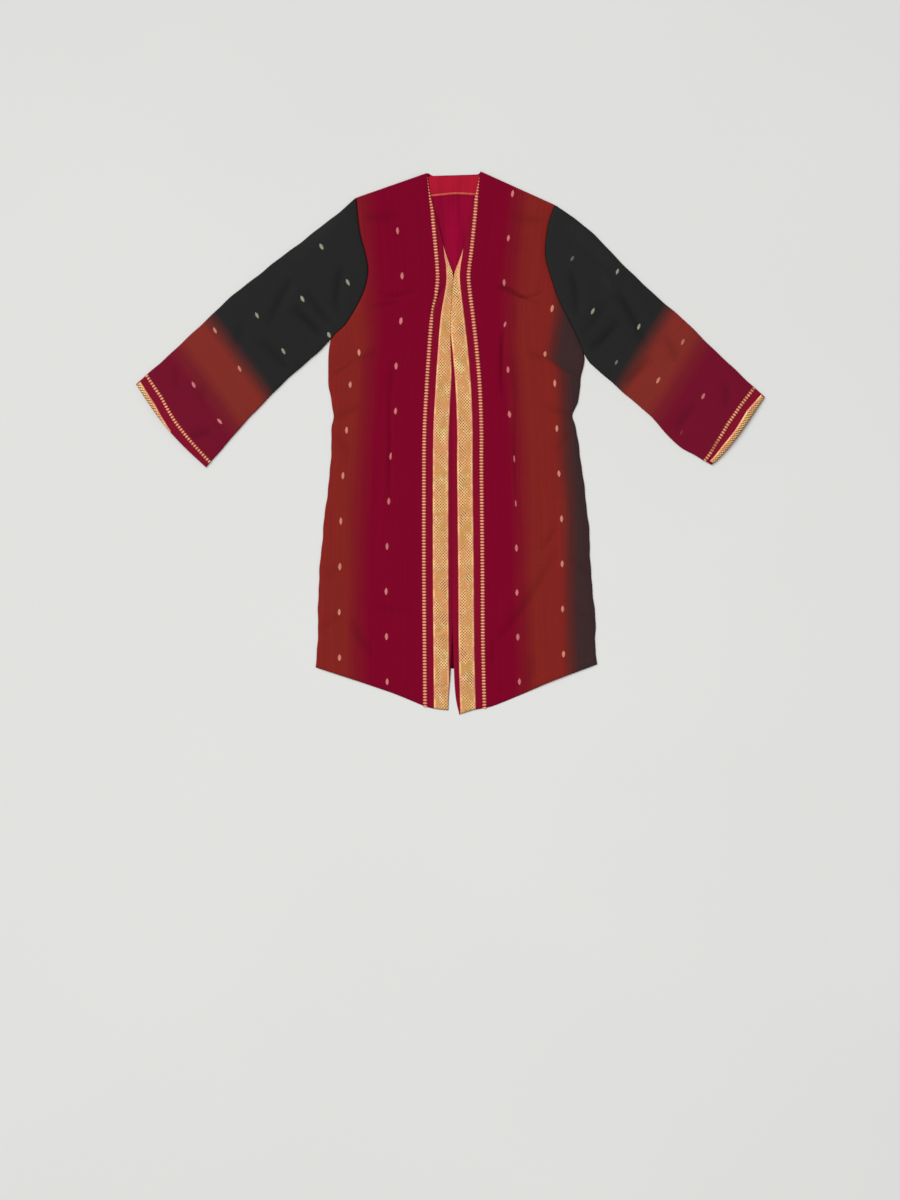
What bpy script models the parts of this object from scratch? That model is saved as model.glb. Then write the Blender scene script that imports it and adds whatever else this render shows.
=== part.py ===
"""A long-sleeved kebaya blouse, laid flat.

One back lies on the surface, two open fronts lie on the back and lap at the centre, and each sleeve is a
flattened tube, open at the armhole and at the cuff. Inside the neck are the facing, its gold edging and
the lining of the back. The border woven along the cloth's edge is a gold band and a ladder line, on the
fronts and on the cuffs. Left and right are the wearer's: the wearer's left is +X.

Sizes are in millimetres. X runs across the blouse, Y from the hem to the neck, Z up from the surface,
and the origin is under the middle of the whole outline.
"""

import math
from collections import namedtuple

import bmesh
import bpy

MM = 0.001
COLLECTION = "kebaya_blouse"

# Cloth: the thickness of each wall, and what is left between two pieces.
PANEL_WALL = 1.2
LINING_WALL = 1.0
EDGING_WALL = 1.3
BORDER_WALL = 1.0
SEAM_GAP = 0.3
BORDER_GAP = 0.6
ARMHOLE_GAP = 0.4

# The fronts hang below the back's hem, and come down to the surface there.
BACK_HEM_Y = -421.0
BACK_HEM_SAG = 5.0
DROP_STARTS = 20.0
DROP_LENGTH = 40.0

# Cells of the panels: along, in each row of a table, and across.
CELLS_PER_SECTION = 2
FRONT_COLUMNS = 10
HUMP_FULLNESS = 0.7

# The border, measured from the middle of the ladder line towards the cloth's edge.
LADDER_WIDTH = 9.0
BAND_STARTS = 16.7
BAND_WIDTH = 29.5
BORDER_INSET = 0.6
LEAST_BAND_WIDTH = 1.5
LEAST_LADDER_WIDTH = 2.5

# The lap: the right front's band stops this far short of the left front's free edge. Below this height
# the fronts part, and both bands show whole.
LAP_CLEARANCE = 1.0
LAP_FOOT_Y = -399.0

# The border starts this share of a row up from the hem, and this share of the cuff in from each fold.
HEM_INSET = 0.015
CUFF_INSET = 0.02

# Sleeves: a fold of this height along both long edges, and cells along and around.
FOLD_HEIGHT = 3.2
FOLD_INSET = 1.4
SLEEVE_ROWS = 10
CUFF_CELLS = 12

# How many rings of a sleeve's table bend to follow the armhole, and how many bow out to the cuff.
ARMHOLE_REACH = 2.5
CUFF_REACH = 1.0

# Tries at a strip's edge on a front, and at the place where the neckline cuts it off.
EDGE_TRIES = 6
TIP_TRIES = 10

# One row of a front, from its free edge (inner) to its side seam or armhole (outer): both ends' places,
# how far each end is lifted off what it lies on, how far the middle rises, and how far the row sags.
Section = namedtuple(
    "Section", "name inner_x inner_y outer_x outer_y inner_lift outer_lift hump sag"
)
FRONT_LEFT = (
    Section("hem", 17, -516, 278, -420, 0.0, 0.0, 0.0, 1.0),
    Section("hem_turn", 9, -473, 275, -386, 0.3, 0.0, 0.7, 0.6),
    Section("slit", 5, -378, 274, -321, 2.6, 0.0, 1.3, 0.0),
    Section("hip", 4, -291, 267, -247, 2.6, 0.0, 1.5, 0.0),
    Section("upper_hip", 3, -169, 262, -158, 2.6, 0.0, 1.6, 0.0),
    Section("below_waist", 3, -55, 251, -57, 2.6, 0.0, 1.5, 0.0),
    Section("low_waist", 3, 24, 238, 25, 2.6, 0.0, 1.3, 0.0),
    Section("waist", 3, 51, 232, 51, 2.6, 0.0, 1.2, 0.0),
    Section("high_waist", 3, 68, 237, 67, 2.6, 0.0, 1.3, 0.0),
    Section("above_waist", 2, 86, 243, 84, 2.6, 0.0, 1.4, 0.0),
    Section("dart", 2, 131, 248, 125, 2.7, 0.0, 1.7, 0.0),
    Section("armpit", 0, 192, 254, 167, 3.0, 0.0, 1.8, 0.0),
    Section("lap", 1, 253, 233, 219, 3.3, 0.5, 1.6, 0.0),
    Section("vee", 6, 315, 206, 272, 3.6, 0.5, 1.4, 0.0),
    Section("chest", 15, 343, 192, 312, 2.2, 0.5, 1.4, 0.0),
    Section("band_tip", 24, 370, 181, 352, 1.6, 0.5, 1.4, 0.0),
    Section("yoke", 35, 421, 182, 390, 1.6, 0.5, 1.2, 0.0),
    Section("upper_yoke", 46, 469, 189, 426, 1.6, 0.5, 0.8, 0.0),
    Section("shoulder", 57, 516, 199, 452, 1.6, 0.0, 0.0, 0.0),
)
FRONT_RIGHT = (
    Section("hem", -4, -508, -256, -426, 0.0, 0.0, 0.0, 1.0),
    Section("hem_turn", -2, -465, -253, -386, 0.3, 0.0, 0.7, 0.6),
    Section("slit", 4, -374, -251, -321, 0.6, 0.0, 1.5, 0.0),
    Section("hip", 8, -291, -249, -247, 0.6, 0.0, 1.8, 0.0),
    Section("upper_hip", 9, -169, -241, -158, 0.6, 0.0, 1.9, 0.0),
    Section("below_waist", 9, -59, -229, -57, 0.6, 0.0, 1.7, 0.0),
    Section("low_waist", 9, 20, -226, 20, 0.6, 0.0, 1.4, 0.0),
    Section("waist", 9, 48, -222, 48, 0.6, 0.0, 1.3, 0.0),
    Section("high_waist", 9, 66, -224, 66, 0.6, 0.0, 1.4, 0.0),
    Section("above_waist", 9, 86, -227, 86, 0.6, 0.0, 1.5, 0.0),
    Section("dart", 9, 131, -232, 131, 0.7, 0.0, 1.9, 0.0),
    Section("armpit", 10, 192, -227, 196, 1.0, 0.0, 2.0, 0.0),
    Section("lap", 11, 253, -198, 228, 1.3, 0.5, 1.7, 0.0),
    Section("vee", 6, 316, -168, 281, 1.6, 0.5, 1.5, 0.0),
    Section("chest", -3, 344, -157, 323, 1.6, 0.5, 1.4, 0.0),
    Section("band_tip", -12, 372, -161, 357, 1.6, 0.5, 1.4, 0.0),
    Section("yoke", -24, 421, -171, 395, 1.6, 0.5, 1.2, 0.0),
    Section("upper_yoke", -37, 469, -176, 431, 1.6, 0.5, 0.8, 0.0),
    Section("shoulder", -44, 513, -179, 466, 1.6, 0.0, 0.0, 0.0),
)
ARMPIT = 11
SHOULDER = 18

# How far a hem hangs below a straight line, at shares of the way from the free edge to the side seam.
# The dip fades away up the front's first rows.
HemPlace = namedtuple("HemPlace", "name across dip")
HEM_LEFT = (
    HemPlace("free_edge", 0.0, 0.0),
    HemPlace("band", 0.10, 0.4),
    HemPlace("border", 0.16, 3.2),
    HemPlace("low", 0.24, 6.0),
    HemPlace("middle", 0.43, 4.0),
    HemPlace("outer", 0.66, 0.3),
    HemPlace("side", 1.0, 0.0),
)
HEM_RIGHT = (
    HemPlace("free_edge", 0.0, 0.0),
    HemPlace("band", 0.09, 4.2),
    HemPlace("low", 0.165, 5.8),
    HemPlace("border", 0.30, 2.7),
    HemPlace("middle", 0.42, 0.2),
    HemPlace("outer", 0.66, -0.8),
    HemPlace("side", 1.0, 0.0),
)
HEM_ROWS = 2.0

# A soft fold in a front, along a straight line: a rise below nought is a trough, or a dart.
Fold = namedtuple("Fold", "name from_x from_y to_x to_y width rise")
FOLDS_LEFT = (
    Fold("bust_dart", 248, 124, 182, 158, 16, -1.2),
    Fold("waist_dart", 123, 190, 123, -108, 15, -1.0),
    Fold("chest_drag", 109, 290, 165, 281, 14, -0.8),
    Fold("hem_drag", 102, -382, 191, -188, 18, -0.9),
)
FOLDS_RIGHT = (
    Fold("bust_dart", -232, 124, -180, 160, 16, -1.2),
    Fold("waist_dart", -116, 180, -118, -110, 15, -1.0),
    Fold("chest_pinch", -60, 232, -24, 290, 14, -0.8),
    Fold("hem_drag", -80, -300, -170, -150, 18, -0.9),
)

# The middle of the ladder line down each front: it is straight in the cloth, and the darts bend it.
Run = namedtuple("Run", "name x y")
LADDER_LEFT = (
    Run("hem", 65, -510),
    Run("slit", 62, -385),
    Run("hip", 61, -240),
    Run("below_waist", 59, -51),
    Run("waist", 59, 25),
    Run("dart", 56, 105),
    Run("armpit", 50, 177),
    Run("lap", 43, 240),
    Run("vee", 35, 306),
    Run("kink", 36, 335),
    Run("band_tip", 40, 365),
    Run("yoke", 47.5, 440),
    Run("upper_yoke", 49.5, 474),
    Run("neck", 51.5, 512),
)
LADDER_RIGHT = (
    Run("hem", -48, -500),
    Run("slit", -49, -385),
    Run("hip", -50, -240),
    Run("below_waist", -50, -70),
    Run("waist", -49, 25),
    Run("dart", -45, 105),
    Run("armpit", -41, 167),
    Run("lap", -35, 240),
    Run("vee", -25, 300),
    Run("kink", -25, 335),
    Run("band_tip", -27.8, 369),
    Run("yoke", -34.5, 440),
    Run("upper_yoke", -37.4, 474),
    Run("neck", -40, 506),
)

# The back's top edge above a line between the shoulder tips, at a share of the way across.
TopPoint = namedtuple("TopPoint", "name across rise")
BACK_TOP = (
    TopPoint("right_tip", 0.0, 0.0),
    TopPoint("right_neck", 0.365, 52.0),
    TopPoint("right_scoop", 0.380, 47.0),
    TopPoint("left_scoop", 0.612, 53.0),
    TopPoint("left_neck", 0.627, 58.2),
    TopPoint("left_tip", 1.0, 0.0),
)
BACK_COLUMNS = (0.0, 0.12, 0.24, 0.365, 0.380, 0.5, 0.612, 0.627, 0.75, 0.88, 1.0)

# One ring of a sleeve, from the fold under the arm to the fold along the top, and its middle's rise.
Ring = namedtuple("Ring", "name under_x under_y top_x top_y crown")
SLEEVE_LEFT = (
    Ring("armhole", 254, 167, 199, 452, 0.6),
    Ring("cap", 261, 157, 242, 422, 2.6),
    Ring("upper_arm", 272, 145, 286, 383, 3.0),
    Ring("elbow", 313, 109, 363, 305, 2.8),
    Ring("forearm", 375, 56, 449, 228, 2.8),
    Ring("wrist", 432, -3, 530, 150, 2.6),
    Ring("cuff", 495, -41, 597, 88, 2.2),
)
SLEEVE_RIGHT = (
    Ring("armhole", -227, 196, -179, 466, 0.6),
    Ring("cap", -240, 183, -215, 435, 2.6),
    Ring("upper_arm", -253, 171, -257, 403, 3.0),
    Ring("elbow", -290, 138, -343, 336, 2.8),
    Ring("forearm", -341, 91, -426, 270, 2.8),
    Ring("wrist", -399, 29, -514, 186, 2.6),
    Ring("cuff", -464, -46, -597, 112, 2.2),
)
CUFF_BOW_LEFT = 7.0
CUFF_BOW_RIGHT = 9.0
CUFF_BAND_FROM_LEFT = 0.03
CUFF_BAND_FROM_RIGHT = 0.5

# The border at a cuff, at shares of the way from the under fold to the top fold: how far the middle of
# the ladder line is from the cuff's edge, and how much of the gold band isn't turned inside.
CuffPlace = namedtuple("CuffPlace", "name across ladder_in band_width")
CUFF_LEFT = (
    CuffPlace("under", 0.0, 15.0, 8.0),
    CuffPlace("low", 0.25, 24.0, 12.0),
    CuffPlace("middle", 0.5, 29.0, 11.5),
    CuffPlace("high", 0.75, 29.0, 14.0),
    CuffPlace("top", 1.0, 26.0, 8.0),
)
CUFF_RIGHT = (
    CuffPlace("under", 0.0, 12.0, 0.0),
    CuffPlace("low", 0.25, 16.0, 0.0),
    CuffPlace("middle", 0.5, 20.0, 3.0),
    CuffPlace("high", 0.75, 27.0, 9.6),
    CuffPlace("top", 1.0, 26.0, 9.8),
)

# Inside the neck: each strip as rows from the wearer's right to the wearer's left.
NeckPlace = namedtuple("NeckPlace", "name top_x top_y low_x low_y")
FACING = (
    NeckPlace("right_end", -41, 507.0, -44, 471.8),
    NeckPlace("right_part", -17, 507.2, -17, 474.6),
    NeckPlace("middle", 7, 508.0, 7, 476.8),
    NeckPlace("left_part", 31, 508.6, 33, 476.2),
    NeckPlace("left_end", 55, 509.0, 60, 473.4),
)
EDGING_WIDTH = 4.0
FACING_DEPTHS = (0.0, 0.5, 1.0)
EDGING_DEPTHS = (0.0, 1.0)
LINING_DEPTHS = (0.0, 0.25, 0.5, 0.75, 1.0)
LINING_FOOT_Y = 287.0
LINING_FOOT_RIGHT_X = -10.0
LINING_FOOT_LEFT_X = 24.0

# Each cloth: its colour as it shows in daylight, from 0 to 255, its roughness and its metallic value.
Cloth = namedtuple("Cloth", "name shown roughness metallic")
CRIMSON = Cloth("crimson_brocade", (125, 6, 38), 0.55, 0.0)
RUST = Cloth("rust_brocade", (130, 38, 31), 0.55, 0.0)
DARK = Cloth("dark_brocade", (42, 42, 42), 0.6, 0.0)
BRIGHT_RED = Cloth("bright_red_silk", (172, 26, 48), 0.5, 0.0)
DULL_GOLD = Cloth("dull_gold_edging", (200, 120, 70), 0.5, 0.2)
RASPBERRY = Cloth("raspberry_lining", (150, 8, 50), 0.5, 0.0)
GOLD = Cloth("gold_band", (214, 165, 95), 0.4, 0.6)
PINK_GOLD = Cloth("pink_gold_ladder", (225, 145, 110), 0.4, 0.4)


def lerp(start, end, share):
    return start + (end - start) * share


def through(share, before, start, end, after):
    """The value at a share of the way from start to end, on a smooth curve through all four."""
    straight = end - before
    bend = 2 * before - 5 * start + 4 * end - after
    twist = 3 * start - before - 3 * end + after
    return start + 0.5 * share * (straight + share * (bend + share * twist))


def row_at(table, place):
    """A table's row at a fractional place along it."""
    last = len(table) - 1
    first = min(int(place), last - 1)
    rows = [table[min(max(first + step, 0), last)] for step in (-1, 0, 1, 2)]
    numbers = [
        through(place - first, *column) for column in zip(*(row[1:] for row in rows))
    ]
    return type(rows[1])(rows[1].name, *numbers)


def between(table, key, value, across):
    """The column called value where the column called key is across, on straight lines between rows."""
    for low, high in zip(table, table[1:]):
        start, end = getattr(low, key), getattr(high, key)
        if min(start, end) <= across <= max(start, end):
            share = (across - start) / (end - start)
            return lerp(getattr(low, value), getattr(high, value), share)
    nearest = min(table, key=lambda row: abs(getattr(row, key) - across))
    return getattr(nearest, value)


def smooth_step(share):
    share = min(max(share, 0.0), 1.0)
    return share * share * (3 - 2 * share)


def bed_height(y):
    """The height of what a front lies on: the back, and below its hem the surface."""
    below_hem = BACK_HEM_Y - BACK_HEM_SAG - DROP_STARTS - y
    return (PANEL_WALL + SEAM_GAP) * (1 - smooth_step(below_hem / DROP_LENGTH))


def fold_rise(folds, x, y):
    total = 0.0
    for fold in folds:
        run_x, run_y = fold.to_x - fold.from_x, fold.to_y - fold.from_y
        along = (x - fold.from_x) * run_x + (y - fold.from_y) * run_y
        along = min(max(along / (run_x**2 + run_y**2), 0.0), 1.0)
        away = math.hypot(
            x - fold.from_x - along * run_x, y - fold.from_y - along * run_y
        )
        total += fold.rise * math.exp(-((away / fold.width) ** 2))
    return total


def front_point(front, place, across):
    """A point of a front's underside, in millimetres."""
    sections, folds, hem = front
    row = row_at(sections, place)
    x = lerp(row.inner_x, row.outer_x, across)
    y = lerp(row.inner_y, row.outer_y, across) - row.sag * math.sin(math.pi * across)
    y -= between(hem, "across", "dip", across) * (1 - smooth_step(place / HEM_ROWS))
    lift = row.inner_lift * (1 - across) ** 2 + row.outer_lift * across
    hump = row.hump * math.sin(math.pi * across) ** HUMP_FULLNESS
    hump += fold_rise(folds, x, y) * min(hump, 1.0)
    return x, y, bed_height(y) + max(lift + hump, 0.0)


def across_at(front, place, target):
    """How far across a front's row lies the point with x = target(y)."""
    row = row_at(front[0], place)
    share = 0.0
    for _ in range(EDGE_TRIES):
        _, y, _ = front_point(front, place, share)
        share = (target(y) - row.inner_x) / (row.outer_x - row.inner_x)
        share = min(max(share, 0.0), 1.0)
    return share


def back_point(place, across):
    right, left = row_at(FRONT_RIGHT, place), row_at(FRONT_LEFT, place)
    x = lerp(right.outer_x, left.outer_x, across)
    y = lerp(right.outer_y, left.outer_y, across)
    yoke_share = smooth_step((place - ARMPIT) / (SHOULDER - ARMPIT))
    hem_share = 1 - smooth_step(place / 2)
    y += yoke_share * between(BACK_TOP, "across", "rise", across)
    y -= hem_share * BACK_HEM_SAG * math.sin(math.pi * across)
    return x, y, 0.0


def places(table, per_section=CELLS_PER_SECTION):
    return [k / per_section for k in range((len(table) - 1) * per_section + 1)]


def armhole(sections):
    """The armhole's points from armpit to shoulder tip, a seam's gap outside the panels.

    Both ends stand a wall further out, because the sleeve's folds are there.
    """
    outward = 1 if sections[0].outer_x > 0 else -1
    rows = [row_at(sections, place) for place in places(sections) if place >= ARMPIT]
    edge = [(row.outer_x, row.outer_y) for row in rows]
    moved = []
    for k, (x, y) in enumerate(edge):
        (x0, y0), (x1, y1) = edge[max(k - 1, 0)], edge[min(k + 1, len(edge) - 1)]
        gap = ARMHOLE_GAP + (PANEL_WALL if k in (0, len(edge) - 1) else 0.0)
        reach = gap * outward / math.hypot(x1 - x0, y1 - y0)
        moved.append((x + (y1 - y0) * reach, y - (x1 - x0) * reach))
    return moved


def on_polyline(points, share):
    """A point at a share of a polyline's number of spans, from its first point to its last."""
    place = share * (len(points) - 1)
    first = min(int(place), len(points) - 2)
    (x0, y0), (x1, y1) = points[first], points[first + 1]
    return lerp(x0, x1, place - first), lerp(y0, y1, place - first)


def sleeve_plan(sleeve, place, across):
    """(x, y) on a sleeve: the first ring follows the armhole, and the last one bows out at the cuff."""
    rings, mouth, cuff_bow = sleeve
    ring = row_at(rings, place)
    x = lerp(ring.under_x, ring.top_x, across)
    y = lerp(ring.under_y, ring.top_y, across)
    hollow_share = (1 - smooth_step(place / ARMHOLE_REACH)) ** 2
    mouth_x, mouth_y = on_polyline(mouth, across)
    first = rings[0]
    x += hollow_share * (mouth_x - lerp(first.under_x, first.top_x, across))
    y += hollow_share * (mouth_y - lerp(first.under_y, first.top_y, across))
    from_cuff = len(rings) - 1 - place
    bow = cuff_bow * smooth_step(1 - from_cuff / CUFF_REACH) * math.sin(math.pi * across)
    cuff = rings[-1]
    edge_x, edge_y = cuff.top_x - cuff.under_x, cuff.top_y - cuff.under_y
    outward = 1 if cuff.top_x > 0 else -1
    length = math.hypot(edge_x, edge_y)
    return x + outward * bow * edge_y / length, y - outward * bow * edge_x / length


def sleeve_top(sleeve, place, across):
    """A point of a sleeve's upper surface."""
    x, y = sleeve_plan(sleeve, place, across)
    crown = row_at(sleeve[0], place).crown
    return x, y, FOLD_HEIGHT + crown * math.sin(math.pi * across) ** HUMP_FULLNESS


def sleeve_ring(sleeve, place, shares):
    """A closed ring: the flat underside, the top fold, the upper side, and the fold under the arm."""
    ring = row_at(sleeve[0], place)
    width = math.hypot(ring.top_x - ring.under_x, ring.top_y - ring.under_y)
    inset = FOLD_INSET / width
    inner = [inset, *shares, 1 - inset]
    low = [(*sleeve_plan(sleeve, place, share), 0.0) for share in inner]
    high = [sleeve_top(sleeve, place, share) for share in reversed(inner)]
    top_fold = (*sleeve_plan(sleeve, place, 1.0), FOLD_HEIGHT / 2)
    under_fold = (*sleeve_plan(sleeve, place, 0.0), FOLD_HEIGHT / 2)
    return [*low, top_fold, *high, under_fold]


def linear(shown):
    """A colour for a shader from one as it shows, 0 to 255."""
    return tuple(
        ((part / 255 + 0.055) / 1.055) ** 2.4 if part > 10 else part / 255 / 12.92
        for part in shown
    )


def cloth_material(cloth):
    material = bpy.data.materials.new(cloth.name)
    material.use_nodes = True
    shader = material.node_tree.nodes["Principled BSDF"]
    shader.inputs["Base Color"].default_value = (*linear(cloth.shown), 1.0)
    shader.inputs["Roughness"].default_value = cloth.roughness
    shader.inputs["Metallic"].default_value = cloth.metallic
    material.diffuse_color = (*linear(cloth.shown), 1.0)
    return material


def add_cloth(name, rows, wall, material, tube=False):
    """A sheet through rows of points, given its wall by Solidify: upwards, or inwards on a tube of rings."""
    shape = bmesh.new()
    grid = [[shape.verts.new([part * MM for part in point]) for point in row] for row in rows]
    for low, high in zip(grid, grid[1:]):
        for k in range(len(low) if tube else len(low) - 1):
            following = (k + 1) % len(low)
            shape.faces.new([low[k], low[following], high[following], high[k]])
    shape.normal_update()
    # A sheet faces up. On a tube the faces count by their height, so that its upper side decides.
    facing_up = sum(
        face.normal.z * (face.calc_center_median().z if tube else 1) for face in shape.faces
    )
    if facing_up < 0:
        bmesh.ops.reverse_faces(shape, faces=shape.faces)
    mesh = bpy.data.meshes.new(name)
    shape.to_mesh(mesh)
    shape.free()
    mesh.materials.append(material)
    mesh.shade_smooth()
    sheet = bpy.data.objects.new(name, mesh)
    bpy.data.collections[COLLECTION].objects.link(sheet)
    solidify = sheet.modifiers.new("wall", "SOLIDIFY")
    solidify.thickness = wall * MM
    solidify.offset = -1.0 if tube else 1.0
    solidify.use_even_offset = tube
    return sheet


def moved_up(point, height):
    return point[0], point[1], point[2] + height


def make_back(material):
    rows = [[back_point(place, across) for across in BACK_COLUMNS] for place in places(FRONT_LEFT)]
    add_cloth("back", rows, PANEL_WALL, material)


def make_front(name, front, material):
    shares = [k / FRONT_COLUMNS for k in range(FRONT_COLUMNS + 1)]
    rows = [[front_point(front, place, across) for across in shares] for place in places(front[0])]
    add_cloth(name, rows, PANEL_WALL, material)


def strip_ends(front, place, near, far):
    """Where a strip between x = near(y) and x = far(y) starts and ends on a front's row, and its width."""
    row = row_at(front[0], place)
    width = abs(row.outer_x - row.inner_x)
    inset = BORDER_INSET / width
    start = max(across_at(front, place, near), inset)
    end = max(across_at(front, place, far), inset)
    return (start, end), (end - start) * width


def strip_rows(front, near, far, least_width):
    """Rows of a strip on a front, on the panel's own rows, from the hem to where the neckline narrows it."""
    rows = [HEM_INSET, *places(front[0])[1:]]
    kept = [place for place in rows if strip_ends(front, place, near, far)[1] >= least_width]
    if kept[-1] < rows[-1]:
        wide, narrow = kept[-1], kept[-1] + 1 / CELLS_PER_SECTION
        for _ in range(TIP_TRIES):
            middle = (wide + narrow) / 2
            if strip_ends(front, middle, near, far)[1] >= least_width:
                wide = middle
            else:
                narrow = middle
        kept.append(wide)
    found = []
    for place in kept:
        ends, _ = strip_ends(front, place, near, far)
        found.append([front_point(front, place, lerp(*ends, share)) for share in (0.0, 0.5, 1.0)])
    return found


def shown_from(y):
    """Where the right front comes out from under the left front's free edge."""
    if y < LAP_FOOT_Y:
        return math.inf
    return between(FRONT_LEFT, "inner_y", "inner_x", y) - LAP_CLEARANCE


def make_front_border(side, front, ladder, band_material, ladder_material):
    """The gold band and the ladder line of one front, and on the right front only as far as they show."""
    outward = 1 if front[0][0].outer_x > 0 else -1

    def from_ladder(distance):
        return lambda y: between(ladder, "y", "x", y) - outward * distance

    def band_near(y):
        wanted = from_ladder(BAND_STARTS + BAND_WIDTH)(y)
        return wanted if outward > 0 else min(wanted, shown_from(y))

    band = strip_rows(front, band_near, from_ladder(BAND_STARTS), LEAST_BAND_WIDTH)
    add_strip(f"front_band_{side}", band, band_material)
    half = LADDER_WIDTH / 2
    line = strip_rows(front, from_ladder(half), from_ladder(-half), LEAST_LADDER_WIDTH)
    add_strip(f"front_ladder_{side}", line, ladder_material)


def add_strip(name, rows, material):
    raised = [[moved_up(point, PANEL_WALL + BORDER_GAP) for point in row] for row in rows]
    add_cloth(name, raised, BORDER_WALL, material)


def make_sleeve(name, sleeve, material):
    spans = len(sleeve[1]) - 1
    shares = [k / spans for k in range(1, spans)]
    last = len(sleeve[0]) - 1
    rings = [sleeve_ring(sleeve, last * k / SLEEVE_ROWS, shares) for k in range(SLEEVE_ROWS + 1)]
    add_cloth(name, rings, PANEL_WALL, material, tube=True)


def cuff_strip(sleeve, cuff, start, end, distances):
    """Rows of a strip on a sleeve's upper side, each row at the distances in from the cuff's edge."""
    last = len(sleeve[0]) - 1
    rows = []
    for k in range(CUFF_CELLS + 1):
        across = lerp(start, end, k / CUFF_CELLS)
        edge = sleeve_plan(sleeve, last, across)
        further = sleeve_plan(sleeve, last - 0.5, across)
        reach = math.dist(edge, further)
        near, far = distances(cuff, across)
        rows.append(
            [
                moved_up(sleeve_top(sleeve, last - 0.5 * inward / reach, across), BORDER_GAP)
                for inward in (near, lerp(near, far, 0.5), far)
            ]
        )
    return rows


def band_distances(cuff, across):
    return BORDER_INSET, max(between(cuff, "across", "band_width", across), 2 * BORDER_INSET)


def ladder_distances(cuff, across):
    middle = between(cuff, "across", "ladder_in", across)
    return middle - LADDER_WIDTH / 2, middle + LADDER_WIDTH / 2


def make_cuff_border(side, sleeve, cuff, band_from, band_material, ladder_material):
    """The gold band, from a share of the way across the cuff, and the ladder line all the way across."""
    band = cuff_strip(sleeve, cuff, band_from, 1 - CUFF_INSET, band_distances)
    add_cloth(f"cuff_band_{side}", band, BORDER_WALL, band_material)
    ladder = cuff_strip(sleeve, cuff, CUFF_INSET, 1 - CUFF_INSET, ladder_distances)
    add_cloth(f"cuff_ladder_{side}", ladder, BORDER_WALL, ladder_material)


def make_neck(facing_material, edging_material, lining_material):
    """The facing inside the back neck, the edging along its lower edge, and the lining below."""
    height = PANEL_WALL + SEAM_GAP

    def down(top, foot, depths):
        return [(lerp(top[0], foot[0], depth), lerp(top[1], foot[1], depth), height) for depth in depths]

    facing, edging, lining = [], [], []
    for place in FACING:
        low = place.low_x, place.low_y
        facing.append(down((place.top_x, place.top_y), low, FACING_DEPTHS))
        edging_top = place.low_x, place.low_y - SEAM_GAP
        edging_foot = place.low_x, edging_top[1] - EDGING_WIDTH
        edging.append(down(edging_top, edging_foot, EDGING_DEPTHS))
        lining_top = place.low_x, edging_foot[1] - SEAM_GAP
        share = (place.low_x - FACING[0].low_x) / (FACING[-1].low_x - FACING[0].low_x)
        lining_foot = lerp(LINING_FOOT_RIGHT_X, LINING_FOOT_LEFT_X, share), LINING_FOOT_Y
        lining.append(down(lining_top, lining_foot, LINING_DEPTHS))
    add_cloth("neck_facing", facing, LINING_WALL, facing_material)
    add_cloth("neck_facing_edging", edging, EDGING_WALL, edging_material)
    add_cloth("back_lining", lining, LINING_WALL, lining_material)


def clear_scene():
    for old in list(bpy.data.objects):
        bpy.data.objects.remove(old)
    collection = bpy.data.collections.new(COLLECTION)
    bpy.context.scene.collection.children.link(collection)


def main():
    clear_scene()
    gold, pink_gold = cloth_material(GOLD), cloth_material(PINK_GOLD)
    crimson, dark = cloth_material(CRIMSON), cloth_material(DARK)

    left = FRONT_LEFT, FOLDS_LEFT, HEM_LEFT
    right = FRONT_RIGHT, FOLDS_RIGHT, HEM_RIGHT
    make_back(cloth_material(RUST))
    make_front("front_left", left, crimson)
    make_front("front_right", right, crimson)
    make_front_border("left", left, LADDER_LEFT, gold, pink_gold)
    make_front_border("right", right, LADDER_RIGHT, gold, pink_gold)

    sleeve_left = (SLEEVE_LEFT, armhole(FRONT_LEFT), CUFF_BOW_LEFT)
    sleeve_right = (SLEEVE_RIGHT, armhole(FRONT_RIGHT), CUFF_BOW_RIGHT)
    make_sleeve("sleeve_left", sleeve_left, dark)
    make_sleeve("sleeve_right", sleeve_right, dark)
    make_cuff_border("left", sleeve_left, CUFF_LEFT, CUFF_BAND_FROM_LEFT, gold, pink_gold)
    make_cuff_border("right", sleeve_right, CUFF_RIGHT, CUFF_BAND_FROM_RIGHT, gold, pink_gold)

    make_neck(cloth_material(BRIGHT_RED), cloth_material(DULL_GOLD), cloth_material(RASPBERRY))


main()
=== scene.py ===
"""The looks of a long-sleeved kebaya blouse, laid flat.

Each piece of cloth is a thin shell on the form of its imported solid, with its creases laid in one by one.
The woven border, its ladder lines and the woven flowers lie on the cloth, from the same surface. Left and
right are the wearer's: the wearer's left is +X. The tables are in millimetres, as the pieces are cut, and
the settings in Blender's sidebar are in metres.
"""

import math
from collections import namedtuple

import bpy
import numpy as np
from bpy.props import FloatProperty, FloatVectorProperty, IntProperty, PointerProperty
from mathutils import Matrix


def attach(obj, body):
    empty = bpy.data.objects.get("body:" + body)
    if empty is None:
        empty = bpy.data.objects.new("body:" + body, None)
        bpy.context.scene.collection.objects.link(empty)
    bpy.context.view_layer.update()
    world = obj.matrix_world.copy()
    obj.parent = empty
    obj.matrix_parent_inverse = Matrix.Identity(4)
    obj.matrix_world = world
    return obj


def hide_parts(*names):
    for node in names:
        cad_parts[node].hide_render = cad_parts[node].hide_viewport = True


bl_info = {
    "name": "Kebaya Blouse",
    "version": (1, 0, 0),
    "blender": (4, 5, 0),
    "location": "View3D > Sidebar > Blouse",
    "description": "Sews and lays out a long-sleeved kebaya blouse in shaded brocade",
    "category": "Add Mesh",
}

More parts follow.
